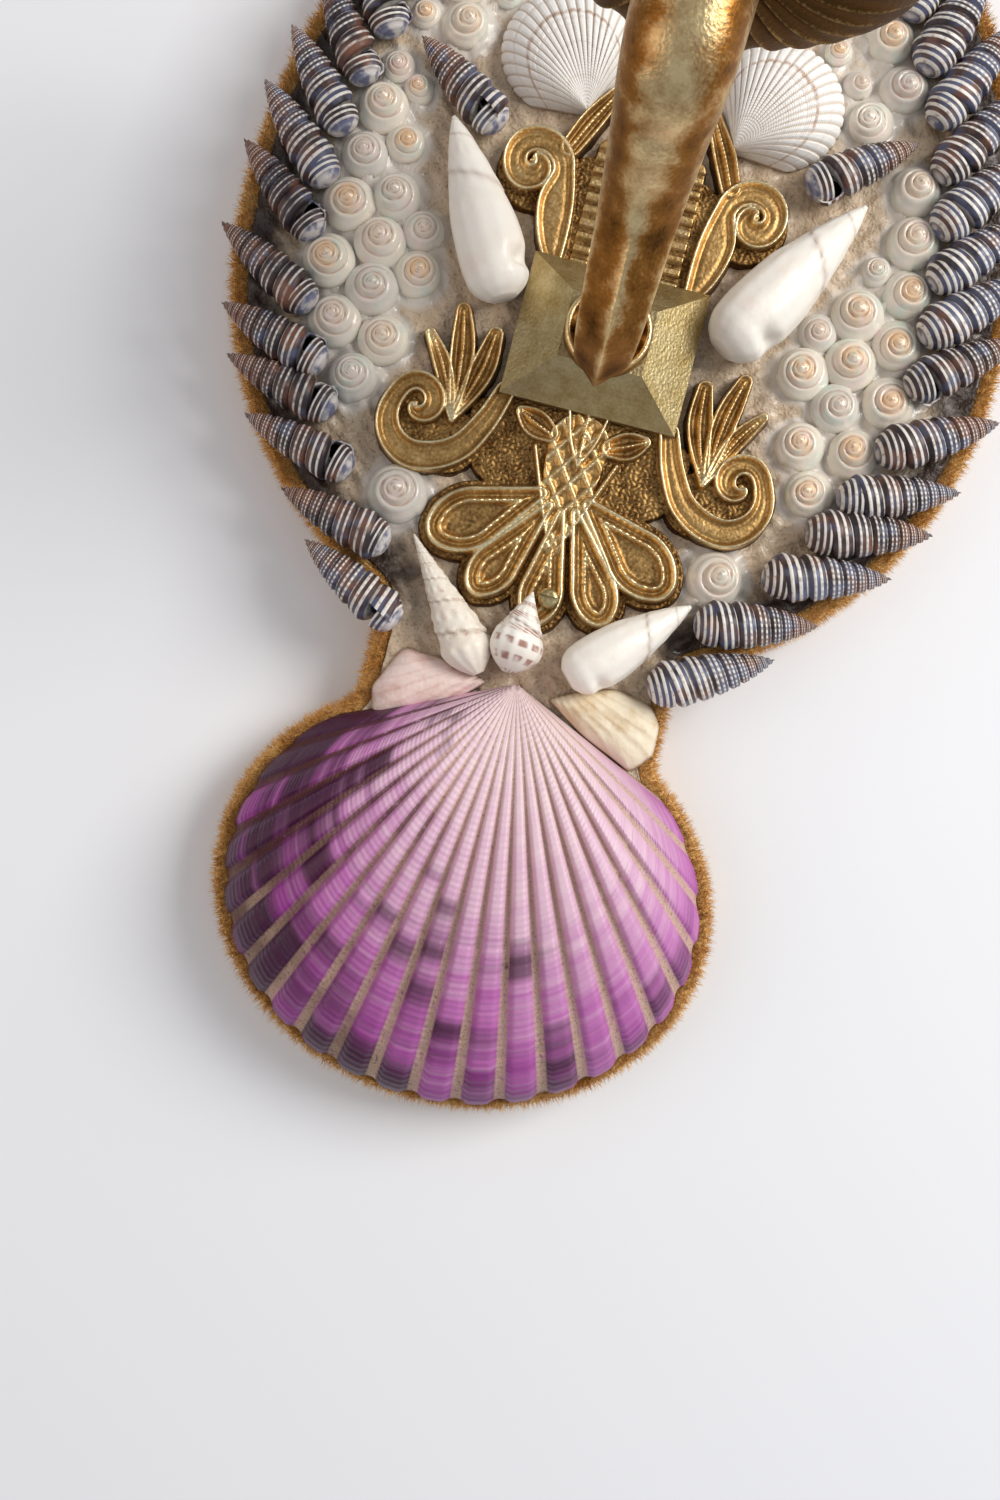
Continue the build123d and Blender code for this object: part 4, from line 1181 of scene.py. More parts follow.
@dataclass
class LongShell:
    """A single spindle, turret or whelk, turned about its axis with its suture wound round it.

    Attributes:
        node: the CAD node.
        name: the piece's name.
        finish: the material.
        slot: the record's material slot.
        profile: half outline as shares of length and radius.
        whorls: number of whorls on the spire.
        body_share: share of the length below the spire.
        groove: depth of the suture.
        step: overhang of each whorl.
        knobs: height of the knobs.
        knob_count: knobs round a whorl.
        cords: rows of knobs on a whorl.
        grow: radius against the CAD's.
        extend: length against the CAD's.
        lip: flare of the lip.
        notch: depth of the notch below the lip.
        notch_share: its share of the length.
        notch_at: its angle in radians.
        roll: turn about the axis in radians.
        dip: fall of the axis towards the tip.
        rows: points along the shell.
        columns: points round it.
    """

    node: str
    name: str
    finish: bpy.types.Material
    slot: str
    profile: Sequence[Tuple[float, float]]
    whorls: float
    body_share: float
    groove: float
    step: float = 0.0
    knobs: float = 0.0
    knob_count: float = 11.0
    cords: float = 2.0
    grow: float = 1.0
    extend: float = 1.0
    lip: float = 0.1
    notch: float = 0.0
    notch_share: float = 0.17
    notch_at: float = 2.7
    roll: float = 4.3
    dip: float = 0.05
    rows: int = 240
    columns: int = 84

    def build(self) -> None:
        """Build the shell as one piece that stands for its node."""
        lie = Lie.of(solids(self.node)[0])
        share = np.linspace(0.0, 1.0, self.rows)
        radius = np.maximum(hermite(share, np.array(self.profile))[:, 0], 0.004) * lie.radius * self.grow
        growth = (np.arange(self.columns) / self.columns)[None, :]
        spire = np.clip((share - self.body_share) / (1.0 - self.body_share), 0.0, 1.0)
        whorl = self.whorls * np.log(1.0 - 0.94 * spire) / math.log(1.0 - 0.94)
        winding = whorl[:, None] + growth
        part = winding - np.floor(winding)
        in_spire = smooth(share, self.body_share - 0.02, self.body_share + 0.05)[:, None]
        seam = bell(np.minimum(part, 1.0 - part), 0.0, 0.06) * in_spire
        shape = 1.0 - self.groove * seam + self.step * (0.5 - part) * in_spire
        row = 0.5 + 0.5 * np.cos(TURN * self.cords * (part - 0.5)) * in_spire
        shape = shape + self.knobs * row * (0.4 + np.cos(TURN * self.knob_count * growth + 1.7 * np.floor(winding)))
        body = 1.0 - smooth(share, self.body_share - 0.1, self.body_share + 0.1)[:, None]
        shape = shape + self.lip * body * (growth - 0.6)
        aside = (TURN * growth + self.roll - self.notch_at + math.pi) % TURN - math.pi
        shape = shape - self.notch * bell(share, self.notch_share, 0.05)[:, None] * bell(aside, 0.0, 0.55)
        ring = radius[:, None] * shape
        way = TURN * growth + self.roll
        x = np.broadcast_to(lie.length * (1.0 - self.extend * (1.0 - share))[:, None], ring.shape)
        points = np.stack([x, ring * np.cos(way), ring * np.sin(way)], axis=-1)
        mouth = body * (bell(growth, 0.0, 0.035) + bell(growth, 1.0, 0.006))
        piece = Piece(self.name)
        piece.grid(lie.put(points, 0.82 * lie.radius, self.dip), ring=True, caps=Ends.BOTH, whorl=winding,
                   along=np.broadcast_to(share[:, None], ring.shape), seam=seam,
                   inside=mouth * smooth(share, 0.02, 0.1)[:, None])
        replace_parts(piece.build(self.finish, self.slot), self.node)


@dataclass
class Valve:
    """A ribbed valve lying on the bed: a scallop or a cockle.

    Attributes:
        node: the CAD node.
        name: the piece's name.
        finish: the material.
        slot: the record's material slot.
        hinge: where its hinge lies.
        reach: half width and half height of the margin's ellipse.
        fan: half the fan's angle in degrees.
        ribs: number of ribs.
        rib_rise: their height.
        turn: turn on the wall in degrees.
        groove: half the flat between two ribs, as a share of a rib.
        swell: power that bends the dome.
        hinge_rise: height of the hinge above the ellipse's middle, against its half height.
        steps: points across a rib.
        rows: points from the hinge to the margin.
    """

    node: str
    name: str
    finish: bpy.types.Material
    slot: str
    hinge: Point
    reach: Point
    fan: float
    ribs: int
    rib_rise: float
    turn: float = 0.0
    groove: float = 0.02
    swell: float = 0.6
    hinge_rise: float = 1.078
    steps: int = 16
    rows: int = 120

    def build(self) -> None:
        """Build the valve as one piece that stands for its node."""
        floor, top = depths(self.node)
        dome = top - floor
        across = np.linspace(0.0, 1.0, self.ribs * self.steps + 1)[None, :]
        along = (np.linspace(0.0, 1.0, self.rows) ** 0.85)[:, None]
        angle = math.radians(self.fan) * (2.0 * across - 1.0)
        place = (self.ribs * across + 1e-6) % 1.0
        rib = 1.7 * smooth(np.minimum(place, 1.0 - place), self.groove, self.groove + 0.25)
        rib = rib + 0.3 * np.sin(math.pi * place) - 1.0
        bulge = self.rib_rise * smooth(along, 0.02, 0.55)
        distance = self._margin(angle) * (0.008 + 0.992 * along) + 0.5 * bulge * rib * smooth(along, 0.8, 1.0)
        rise = 0.05 + 0.95 * along
        lift = np.maximum(4.0 * rise * (1.0 - rise), 0.0) ** self.swell
        side = np.maximum(1.0 - (2.0 * across - 1.0) ** 4, 0.0) ** 0.8
        rings = 0.02 * bell(along, 0.6, 0.012) + 0.03 * bell(along, 0.87, 0.01)
        height = lift * side * (dome - 1.6 * self.rib_rise + bulge * rib) * (1.0 - rings)
        c, s = math.cos(math.radians(self.turn)), math.sin(math.radians(self.turn))
        u, v = distance * np.sin(angle), -distance * np.cos(angle)
        x, y = self.hinge[0] + c * u - s * v, self.hinge[1] + s * u + c * v
        grid = np.stack([x, y, floor + np.maximum(height, 0.0)], axis=-1)
        piece = Piece(self.name)
        index = piece.grid(grid, along=along, across=across, rib=rib, ribs=np.floor(across * self.ribs + 1e-6))
        rim = np.concatenate([index[0], index[1:, -1], index[-1, -2::-1], index[-2::-1, 0]])
        middle = grid.reshape(-1, 3).mean(axis=0)
        piece.fan(rim, np.array([middle[0], middle[1], floor]), {"along": 0.5})
        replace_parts(piece.build(self.finish, self.slot), self.node)

    def _margin(self, angle: np.ndarray) -> np.ndarray:
        """Distance from the hinge to the margin's ellipse at an angle of the fan.

        Args:
            angle: angles of the fan in radians.

        Returns:
            The distances in mm.
        """
        wide, high = self.reach
        drop = self.hinge_rise * high
        s, c = np.sin(angle), np.cos(angle)
        square = (s / wide) ** 2 + (c / high) ** 2
        middle = drop * c / high**2
        rest = (drop / high) ** 2 - 1.0
        return (middle + np.sqrt(np.maximum(middle**2 - square * rest, 0.0))) / square


@dataclass
class Shard:
    """A broken ear of the scallop: a low arched flake with fine ribs."""

    node: str
    name: str
    finish: bpy.types.Material
    slot: str
    corners: Sequence[Point]
    fan_height: float = -76.0
    ribs: float = 70.0
    rib_rise: float = 0.1
    rings: int = 16
    columns: int = 140

    def build(self) -> None:
        """Build the flake as one piece that stands for its node."""
        floor, top = depths(self.node)
        rise = top - floor
        loop = evenly(np.array(self.corners), count=self.columns)
        for _ in range(6):
            loop = (np.roll(loop, 1, axis=0) + loop + np.roll(loop, -1, axis=0)) / 3.0
        middle = loop.mean(axis=0)
        share = np.linspace(1.0, 0.0, self.rings)[:, None]
        plan = middle + (loop - middle)[None] * share[..., None]
        dome = rise * 0.92 * (1.0 - share**3) ** 0.6
        fan = np.arctan2(plan[..., 1] - self.fan_height, np.abs(plan[..., 0]))
        ridge = self.rib_rise * np.sin(self.ribs * fan) * (1.0 - share**6)
        height = floor + np.minimum(np.maximum(dome + ridge, 0.0), rise)
        piece = Piece(self.name)
        piece.grid(np.concatenate([plan, height[..., None]], axis=-1), ring=True, caps=Ends.BOTH, along=fan)
        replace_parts(piece.build(self.finish, self.slot), self.node)


# Board, velvet and glue

@dataclass
class Board:
    """The velvet that wraps the board and the glue that the shells are set in."""

    velvet: bpy.types.Material
    glue: bpy.types.Material
    eye: Point = (0.0, -78.0)
    lip: float = 3.0
    pile: float = 2.6
    fibres: int = 60000
    fibre_half: float = 0.1
    lip_fibres: float = 0.55
    scatter: float = 0.42
    turn_in: float = 15.0
    step: float = 0.8
    hanger_gap: float = 0.2
    glue_rows: int = 130
    creep: float = 0.32
    creep_reach: float = 1.3
    dark_border: float = 9.0
    seed: int = 5

    def outline(self, step: float) -> np.ndarray:
        """Evenly spaced points round the velvet cover, anticlockwise about the neck.

        Args:
            step: distance between points in mm.

        Returns:
            The points on the wall, by 2.
        """
        points = np.concatenate(solids("velvet_cover"))
        points = points[points[:, 2] < points[:, 2].min() + 0.05, :2] - np.array(self.eye)
        angle, reach = np.arctan2(points[:, 1], points[:, 0]), np.linalg.norm(points, axis=1)
        # The outermost point of each half degree, without the corners of the hanger's opening
        bins = np.floor((angle + math.pi) / math.radians(0.5)).astype(int)
        best = [np.flatnonzero(bins == b)[np.argmax(reach[bins == b])] for b in np.unique(bins)]
        around = np.median([np.roll(reach[best], k) for k in range(-4, 5)], axis=0)
        loop = points[best][reach[best] > 0.93 * around] + np.array(self.eye)
        return evenly(loop, step=step)

    @staticmethod
    def inward(edge: np.ndarray) -> np.ndarray:
        """Directions that point from the outline into the plaque.

        Args:
            edge: points of the outline.

        Returns:
            One direction for each point.
        """
        run = np.roll(edge, -2, axis=0) - np.roll(edge, 2, axis=0)
        run /= np.linalg.norm(run, axis=1, keepdims=True)
        return np.stack([-run[:, 1], run[:, 0]], axis=-1)

    def inset(self, step: float, depth: float) -> np.ndarray:
        """Points of the outline, moved into the plaque by some depth."""
        edge = self.outline(step)
        return edge + depth * self.inward(edge)

    def build(self) -> None:
        """Build the velvet with its pile, and the glue."""
        edge = self.outline(self.step)
        inward = self.inward(edge)
        self._velvet(edge, inward)
        self._glue(edge, inward)

    def _velvet(self, edge: np.ndarray, inward: np.ndarray) -> None:
        """Velvet wrapped from the front lip over the edge to the whole back.

        Args:
            edge: points of the outline.
            inward: directions into the plaque.
        """
        low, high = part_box("velvet_cover")
        front = -low.y / MM
        stations = [(self.lip + 0.3, front - 1.2), (self.lip, front - 0.3), (self.lip - 0.9, front), (1.0, front)]
        stations += [(0.3, front - 0.3), (0.0, front - 1.0), (0.0, 0.5 * front), (0.0, 1.0), (0.3, 0.3), (1.0, 0.0)]
        rows = [np.column_stack([edge + inward * inset, np.full(len(edge), out)]) for inset, out in stations]
        piece = Piece("velvet")
        index = piece.grid(np.stack(rows), ring=True)
        made = piece.build(self.velvet, "velvet", closed=False)
        self._close_back(made, index[-1])
        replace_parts(made, "velvet_cover")
        pile = self._pile(edge, inward, front)

    def _close_back(self, made: bpy.types.Object, rim: np.ndarray) -> None:
        """Fill the back of the velvet inside its last ring, with the place of the hanger left open.

        Args:
            made: the velvet.
            rim: numbers of the last ring's points.
        """
        low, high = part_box("hanger_plate")
        work = bmesh.new()
        work.from_mesh(made.data)
        work.verts.ensure_lookup_table()
        gap = self.hanger_gap * MM
        left, right, bottom, top = low.x - gap, high.x + gap, low.z - gap, high.z + gap
        loop = [work.verts[int(k)] for k in rim]
        hole = [work.verts.new((x, 0.0, z)) for x, z in ((left, bottom), (left, top), (right, top), (right, bottom))]
        spots = loop + hole
        for corners in tessellate_polygon([[vert.co for vert in loop], [vert.co for vert in hole]]):
            work.faces.new([spots[k] for k in corners]).smooth = True
        bmesh.ops.recalc_face_normals(work, faces=work.faces)
        work.to_mesh(made.data)
        work.free()

    def _pile(self, edge: np.ndarray, inward: np.ndarray, front: float) -> bpy.types.Object:
        """Short fibres that stand off the edge and the lip.

        Args:
            edge: points of the outline.
            inward: directions into the plaque.
            front: height of the velvet's front above the wall.

        Returns:
            The pile.
        """
        rng = np.random.default_rng(self.seed)
        count = self.fibres
        spot = rng.integers(0, len(edge), count)
        on_lip = rng.uniform(0.0, 1.0, count) < self.lip_fibres
        angle = np.where(on_lip, 0.42 * math.pi, 0.08 * math.pi)
        out = np.where(on_lip, front - 0.1, rng.uniform(0.3, front - 0.3, count))
        inset = np.where(on_lip, rng.uniform(0.1, self.lip, count), 0.05)
        plan = edge[spot] + inward[spot] * inset[:, None]
        plan = plan + (np.roll(edge, -1, axis=0)[spot] - edge[spot]) * rng.uniform(0.0, 1.0, (count, 1))
        root = np.column_stack([plan, np.maximum(out, 0.2)])
        away = np.column_stack([-inward[spot] * np.cos(angle)[:, None], np.sin(angle)])
        away = away + rng.normal(0.0, self.scatter, (count, 3))
        away[:, 2] = np.where(root[:, 2] < 1.5, np.abs(away[:, 2]), away[:, 2])
        away /= np.linalg.norm(away, axis=1, keepdims=True)
        side = np.cross(away, rng.normal(0.0, 1.0, (count, 3)))
        side *= self.fibre_half / np.linalg.norm(side, axis=1, keepdims=True)
        tip = root + away * (self.pile * rng.uniform(0.4, 1.0, (count, 1)))
        tip[:, 2] = np.maximum(tip[:, 2], 0.05)
        piece = Piece("velvet_pile")
        piece.blades(np.stack([root + side, root - side, tip], axis=1))
        return piece.build(self.velvet, "velvet", closed=False)

    def _glue(self, edge: np.ndarray, inward: np.ndarray) -> None:
        """Lumpy glue, drawn up round the small shells and dark at its edge, partly as painted shade in the gaps between
        the horn shells.

        Args:
            edge: points of the outline.
            inward: directions into the plaque.
        """
        back, top = depths("glue_bed")
        loop = edge + inward * (self.lip + 0.3)
        share = np.linspace(1.0, 0.0, self.glue_rows)[:-1, None]
        plan = np.array(self.eye) + (loop - np.array(self.eye))[None] * share[..., None]
        x, y = plan[..., 0], plan[..., 1]
        rise = np.zeros_like(x)
        for node in ("top_shells_left", "top_shells_right", "top_shells_crown", "pearl_shells"):
            for points in solids(node):
                middle = 0.5 * (points.min(axis=0) + points.max(axis=0))
                radius = 0.5 * np.ptp(points[:, 0])
                apart = np.hypot(x - middle[0], y - middle[1]) - radius
                pulled = self.creep * radius * np.exp(-np.maximum(apart, 0.0) / self.creep_reach)
                rise = np.maximum(rise, pulled)
        lumps = 0.3 * np.sin(1.1 * x + 1.3 * np.sin(0.7 * y)) + 0.28 * np.sin(1.6 * y + 1.7 * np.sin(0.9 * x))
        height = top - 0.6 + lumps + rise
        near = np.min([np.hypot(x - px, y - py) for px, py in loop[::4]], axis=0)
        # Share of the dark near the border, partly painted shade in the gaps between the horn shells
        body = np.exp(-near / self.dark_border) * smooth(y, -86.0, -62.0)
        rows = np.concatenate([plan, height[..., None]], axis=-1)
        foot = np.concatenate([loop, np.full((len(loop), 1), back)], axis=1)[None]
        piece = Piece("glue")
        index = piece.grid(np.concatenate([foot, rows]), ring=True, caps=Ends.LAST,
                           edge=np.concatenate([body[:1], body]), rise=np.concatenate([rise[:1], rise]) / 1.4)
        piece.fan(np.append(index[0], index[0, 0]), np.array([*self.eye, back]), {"edge": 0.0, "rise": 0.0})
        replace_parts(piece.build(self.glue, "glue"), "glue_bed")


# Brass, with the spacing of its beads, notches and crossed lines in mm, and how many places are read at once

LEAF_BEAD, TONGUE_BEAD, BAR_NOTCH, LATTICE_CELL = 0.9, 1.6, 2.7, 4.2
BATCH = 4000


class Section(Enum):
    """Cross-sections of the bands of the casting."""

    GROUND = "flat ground"
    CHANNEL = "hollow band between two rims"
    LEAF = "leaf with a double midrib"
    GADROON = "drop with a round border and a beaded tongue inside it"
    BAR = "bar with notches across"
    LATTICE = "crossed lines"
    DOME = "round boss"

    def height(self, d: np.ndarray, e: np.ndarray, t: np.ndarray, x: np.ndarray, y: np.ndarray) -> np.ndarray:
        """Height of the band from 0 to 1.

        Args:
            d: distance from the band's middle line in mm.
            e: distance from its edge in mm.
            t: distance along it in mm.
            x: place on the wall to the right.
            y: place up the wall.

        Returns:
            The height at each place.
        """
        rim = bell(e, 0.75, 0.55)
        if self is Section.CHANNEL:
            return 0.66 + 0.34 * rim - 0.05 * bell(e, 2.0, 0.5)
        if self is Section.LEAF:
            return 0.52 + 0.44 * rim + 0.4 * bell(d, 0.0, 0.55) * (0.9 + 0.1 * np.cos(TURN * t / LEAF_BEAD))
        if self is Section.GADROON:
            beads = (0.9 + 0.1 * np.cos(TURN * t / TONGUE_BEAD)) * bell(e, 3.4, 0.7)
            return 0.5 + 0.48 * bell(e, 1.1, 0.8) + 0.4 * beads
        if self is Section.BAR:
            return 0.62 + 0.34 * smooth(np.cos(TURN * t / BAR_NOTCH), -0.5, 0.3)
        if self is Section.LATTICE:
            k = math.pi / LATTICE_CELL
            return 0.7 + 0.26 * np.maximum(np.cos(k * (x + 0.7 * y)) ** 4, np.cos(k * (x - 0.7 * y)) ** 4)
        if self is Section.DOME:
            return np.sqrt(np.clip(e, 0.0, 1.0))
        return 0.9 + 0.1 * np.sin(3.3 * x + 1.7 * np.sin(2.3 * y)) * np.sin(3.1 * y + 1.9 * np.sin(2.1 * x))


@dataclass(frozen=True)
class Band:
    """One band of the casting: the line it follows, its half widths along that line, its section and its rise."""

    line: np.ndarray
    half: np.ndarray
    section: Section
    rise: float

    @classmethod
    def through(cls, points: Sequence[Point], half: Sequence[float], section: Section, rise: float) -> "Band":
        """A band on a smooth line through points, with half widths at those points.

        Args:
            points: points of its middle line.
            half: half width at each point.
            section: its cross-section.
            rise: its height above the bed.

        Returns:
            The band.
        """
        ends = np.array(points, float)
        length = lengths(ends)
        spots = np.linspace(0.0, length[-1], max(2, int(length[-1] / 0.35)))
        drawn = hermite(spots, np.column_stack([length, ends, np.array(half, float)]))
        return cls(drawn[:, :2], np.maximum(drawn[:, 2], 0.05), section, rise)

    def mirrored(self) -> "Band":
        """The same band on the other side of the middle line."""
        return Band(self.line * np.array([-1.0, 1.0]), self.half, self.section, self.rise)

    def stand(self, x: np.ndarray, y: np.ndarray, floor: float) -> np.ndarray:
        """Height of the band over a field of places, and the floor where it isn't.

        Args:
            x: places to the right.
            y: places up the wall.
            floor: height outside the band.

        Returns:
            Height above the bed at each place.
        """
        height = np.full(x.shape, floor)
        reach = self.half.max() + 1.0
        low, high = self.line.min(axis=0) - reach, self.line.max(axis=0) + reach
        near = (x > low[0]) & (x < high[0]) & (y > low[1]) & (y < high[1])
        px, py = x[near], y[near]
        along = lengths(self.line)
        best = np.full(px.shape, -1e9)
        for start in range(0, len(px), BATCH):
            part = slice(start, start + BATCH)
            dx = px[part, None] - self.line[None, :, 0]
            dy = py[part, None] - self.line[None, :, 1]
            apart = np.hypot(dx, dy)
            spot = np.argmax(self.half[None, :] - apart, axis=1)
            row = np.arange(len(spot))
            inside = self.half[spot] - apart[row, spot]
            tall = self.rise * self.section.height(apart[row, spot], inside, along[spot], px[part], py[part])
            best[part] = floor + (tall - floor) * smooth(inside, -0.15, 0.5)
        height[near] = np.where(best > floor, best, floor)
        return height


def scroll(eye: Point, start: float, way: int, quarters: Sequence[Point]) -> Tuple[List[Point], List[float]]:
    """Line and half widths of a band that winds in to its eye.

    Args:
        eye: its middle.
        start: angle of its outer end in degrees.
        way: 1 for anticlockwise, -1 for clockwise.
        quarters: distance from the eye and half width at each quarter turn.

    Returns:
        Points and half widths.
    """
    spots = np.linspace(0.0, len(quarters) - 1.0, 8 * (len(quarters) - 1) + 1)
    reach, half = hermite(spots, np.column_stack([np.arange(len(quarters)), np.array(quarters)])).T
    angle = math.radians(start) + way * spots * 0.5 * math.pi
    return list(zip(eye[0] + reach * np.cos(angle), eye[1] + reach * np.sin(angle))), list(half)


@dataclass
class Backplate:
    """The cast brass plate: volutes, leaf sprays, notched bars, a crest and a palmette of gadroons."""

    finish: bpy.types.Material
    pitch: float = 0.22
    sink: float = -1.6
    low_eye: Point = (33.5, -34.0)
    high_eye: Point = (23.2, 18.6)
    heart: Point = (0.0, -42.0)
    lobe_angles: Tuple[float, ...] = (56.0, 27.5, 0.0)
    lobe_reaches: Tuple[float, ...] = (20.8, 22.4, 22.6)
    lobe_radii: Tuple[float, ...] = (7.0, 5.4, 5.1)
    apron: float = 1.2
    ground_rise: float = 1.8
    pad: Place = (17.6, 14.2, -13.5)
    pad_rise: float = 1.9

    def _volutes(self) -> List[Band]:
        """Lower and upper volute of the right-hand side, with their eyes.

        Returns:
            Their bands.
        """
        low = [(10.0, 3.4), (4.7, 2.5), (4.5, 2.5), (3.4, 2.6), (1.75, 1.75), (0.6, 0.6)]
        line, half = scroll(self.low_eye, -93.0, 1, low)
        line = [(16.9, -27.4), (19.4, -34.5), (23.6, -41.0), (28.4, -43.6)] + line
        high = [(6.5, 2.7), (4.5, 3.1), (3.5, 2.9), (3.4, 3.1), (2.0, 2.0), (0.6, 0.6)]
        rise, wide = scroll(self.high_eye, 180.0, -1, high)
        rise = [(14.4, 0.2), (15.6, 5.0), (16.6, 11.5)] + rise
        bands = [Band.through(line, [2.5, 2.9, 3.2, 3.4] + half, Section.CHANNEL, 3.7),
                 Band.through(rise, [2.2, 3.5, 4.1] + wide, Section.CHANNEL, 3.9)]
        for eye in (self.low_eye, self.high_eye):
            bands.append(Band.through([eye, (eye[0] + 0.1, eye[1])], [1.0, 1.0], Section.DOME, 4.0))
        return bands

    def _leaves(self) -> List[Band]:
        """Leaf spray, crescent, strap and notched bar of the right-hand side.

        Returns:
            Their bands.
        """
        bands = []
        for tip, bend, wide in (((34.3, -19.6), (31.0, -24.2), 2.3), ((29.0, -13.6), (27.6, -19.5), 2.9),
                                ((21.6, -16.8), (22.2, -23.0), 3.0)):
            bands.append(Band.through([(25.9, -35.5), bend, tip], [1.3, wide, 0.7 * wide], Section.LEAF, 3.4))
        bands.append(Band.through([(12.6, -30.4), (9.4, -32.0), (6.4, -33.2)], [1.8, 3.3, 2.4], Section.LEAF, 3.6))
        bands.append(Band.through([(16.4, 23.4), (13.6, 29.5), (10.0, 36.0)], [2.6, 2.8, 2.0], Section.LEAF, 3.4))
        bands.append(Band.through([(9.2, 1.4), (9.2, 13.0), (9.2, 25.0)], [2.2, 2.2, 2.2], Section.BAR, 3.0))
        bands.append(Band.through([(8.4, -36.4), (4.6, -46.4), (0.9, -55.4)], [1.0, 1.0, 0.8], Section.DOME, 4.1))
        return bands

    def _lobes(self) -> List[Band]:
        """Gadroons of the palmette, from the side to the middle.

        Returns:
            Their bands.
        """
        bands = []
        root, tip = 6.0, np.array([0.5, 0.8, 0.94])
        for away, reach, radius in zip(self.lobe_angles, self.lobe_reaches, self.lobe_radii):
            angle = math.radians(-90.0 + away)
            way = np.array([math.cos(angle), math.sin(angle)])
            spots = np.concatenate([np.linspace(root, reach, 12), reach + radius * tip])
            swell = np.interp(spots, [root, reach], [0.3 * radius, radius])
            swell[-len(tip):] = radius * np.sqrt(1.0 - tip ** 2)
            line = [tuple(np.array(self.heart) + s * way) for s in spots]
            bands.append(Band.through(line, list(swell), Section.GADROON, 3.9))
            bands.append(Band.through(line, list(swell + self.apron), Section.GROUND, 1.7))
        return bands

    def bands(self) -> List[Band]:
        """Every band of the plate, both sides.

        Returns:
            The bands, in no order that matters.
        """
        half = self._volutes() + self._leaves() + self._lobes()
        ground = [((33.0, -36.5), 8.6), ((26.0, -39.6), 7.0), ((21.5, 17.5), 8.6), ((12.0, -33.0), 7.0),
                  ((8.0, 12.0), 12.0), ((3.5, -47.0), 9.0), ((14.5, -39.0), 7.0), ((18.0, -33.0), 5.0),
                  ((9.0, -42.0), 8.0), ((4.0, -30.0), 7.0)]
        half += [Band.through([p, (p[0] + 0.1, p[1])], [r, r], Section.GROUND, self.ground_rise) for p, r in ground]
        middle = [Band.through([(0.0, 26.0), (0.0, 36.0), (0.0, 46.0)], [7.0, 5.0, 0.4], Section.GADROON, 3.8),
                  Band.through([(0.0, 27.0), (0.0, 44.0)], [9.0, 3.4], Section.GROUND, self.ground_rise),
                  Band.through([(0.0, -34.0), (0.0, -46.0), (0.0, -56.0)], [6.6, 5.0, 1.6], Section.LATTICE, 3.3),
                  Band.through([(0.4, -26.0), (0.6, -33.0), (0.8, -39.2)], [5.0, 3.2, 0.3], Section.LEAF, 4.1)]
        return half + [band.mirrored() for band in half] + middle

    def build(self) -> None:
        """Build the casting as a field of heights over the bed."""
        bed, top = depths("brass_backplate")
        x, y = np.meshgrid(np.arange(-45.0, 45.0, self.pitch), np.arange(-75.0, 49.0, self.pitch))
        height = np.full(x.shape, self.sink)
        for band in self.bands():
            height = np.maximum(height, band.stand(x, y, self.sink))
        inside = np.minimum(self.pad[0] - np.abs(x), self.pad[1] - np.abs(y - self.pad[2]))
        height = np.maximum(height, self.sink + (self.pad_rise - self.sink) * smooth(inside, -0.15, 0.5))
        height = np.minimum(height, top - bed)
        piece = Piece("brass_scrollwork")
        piece.patch(np.stack([x, y, bed + height], axis=-1), height > self.sink + 0.02,
                    relief=np.clip((height - 0.8) / 3.6, 0.0, 0.9))
        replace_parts(piece.build(self.finish, "brass", closed=False), "brass_backplate")


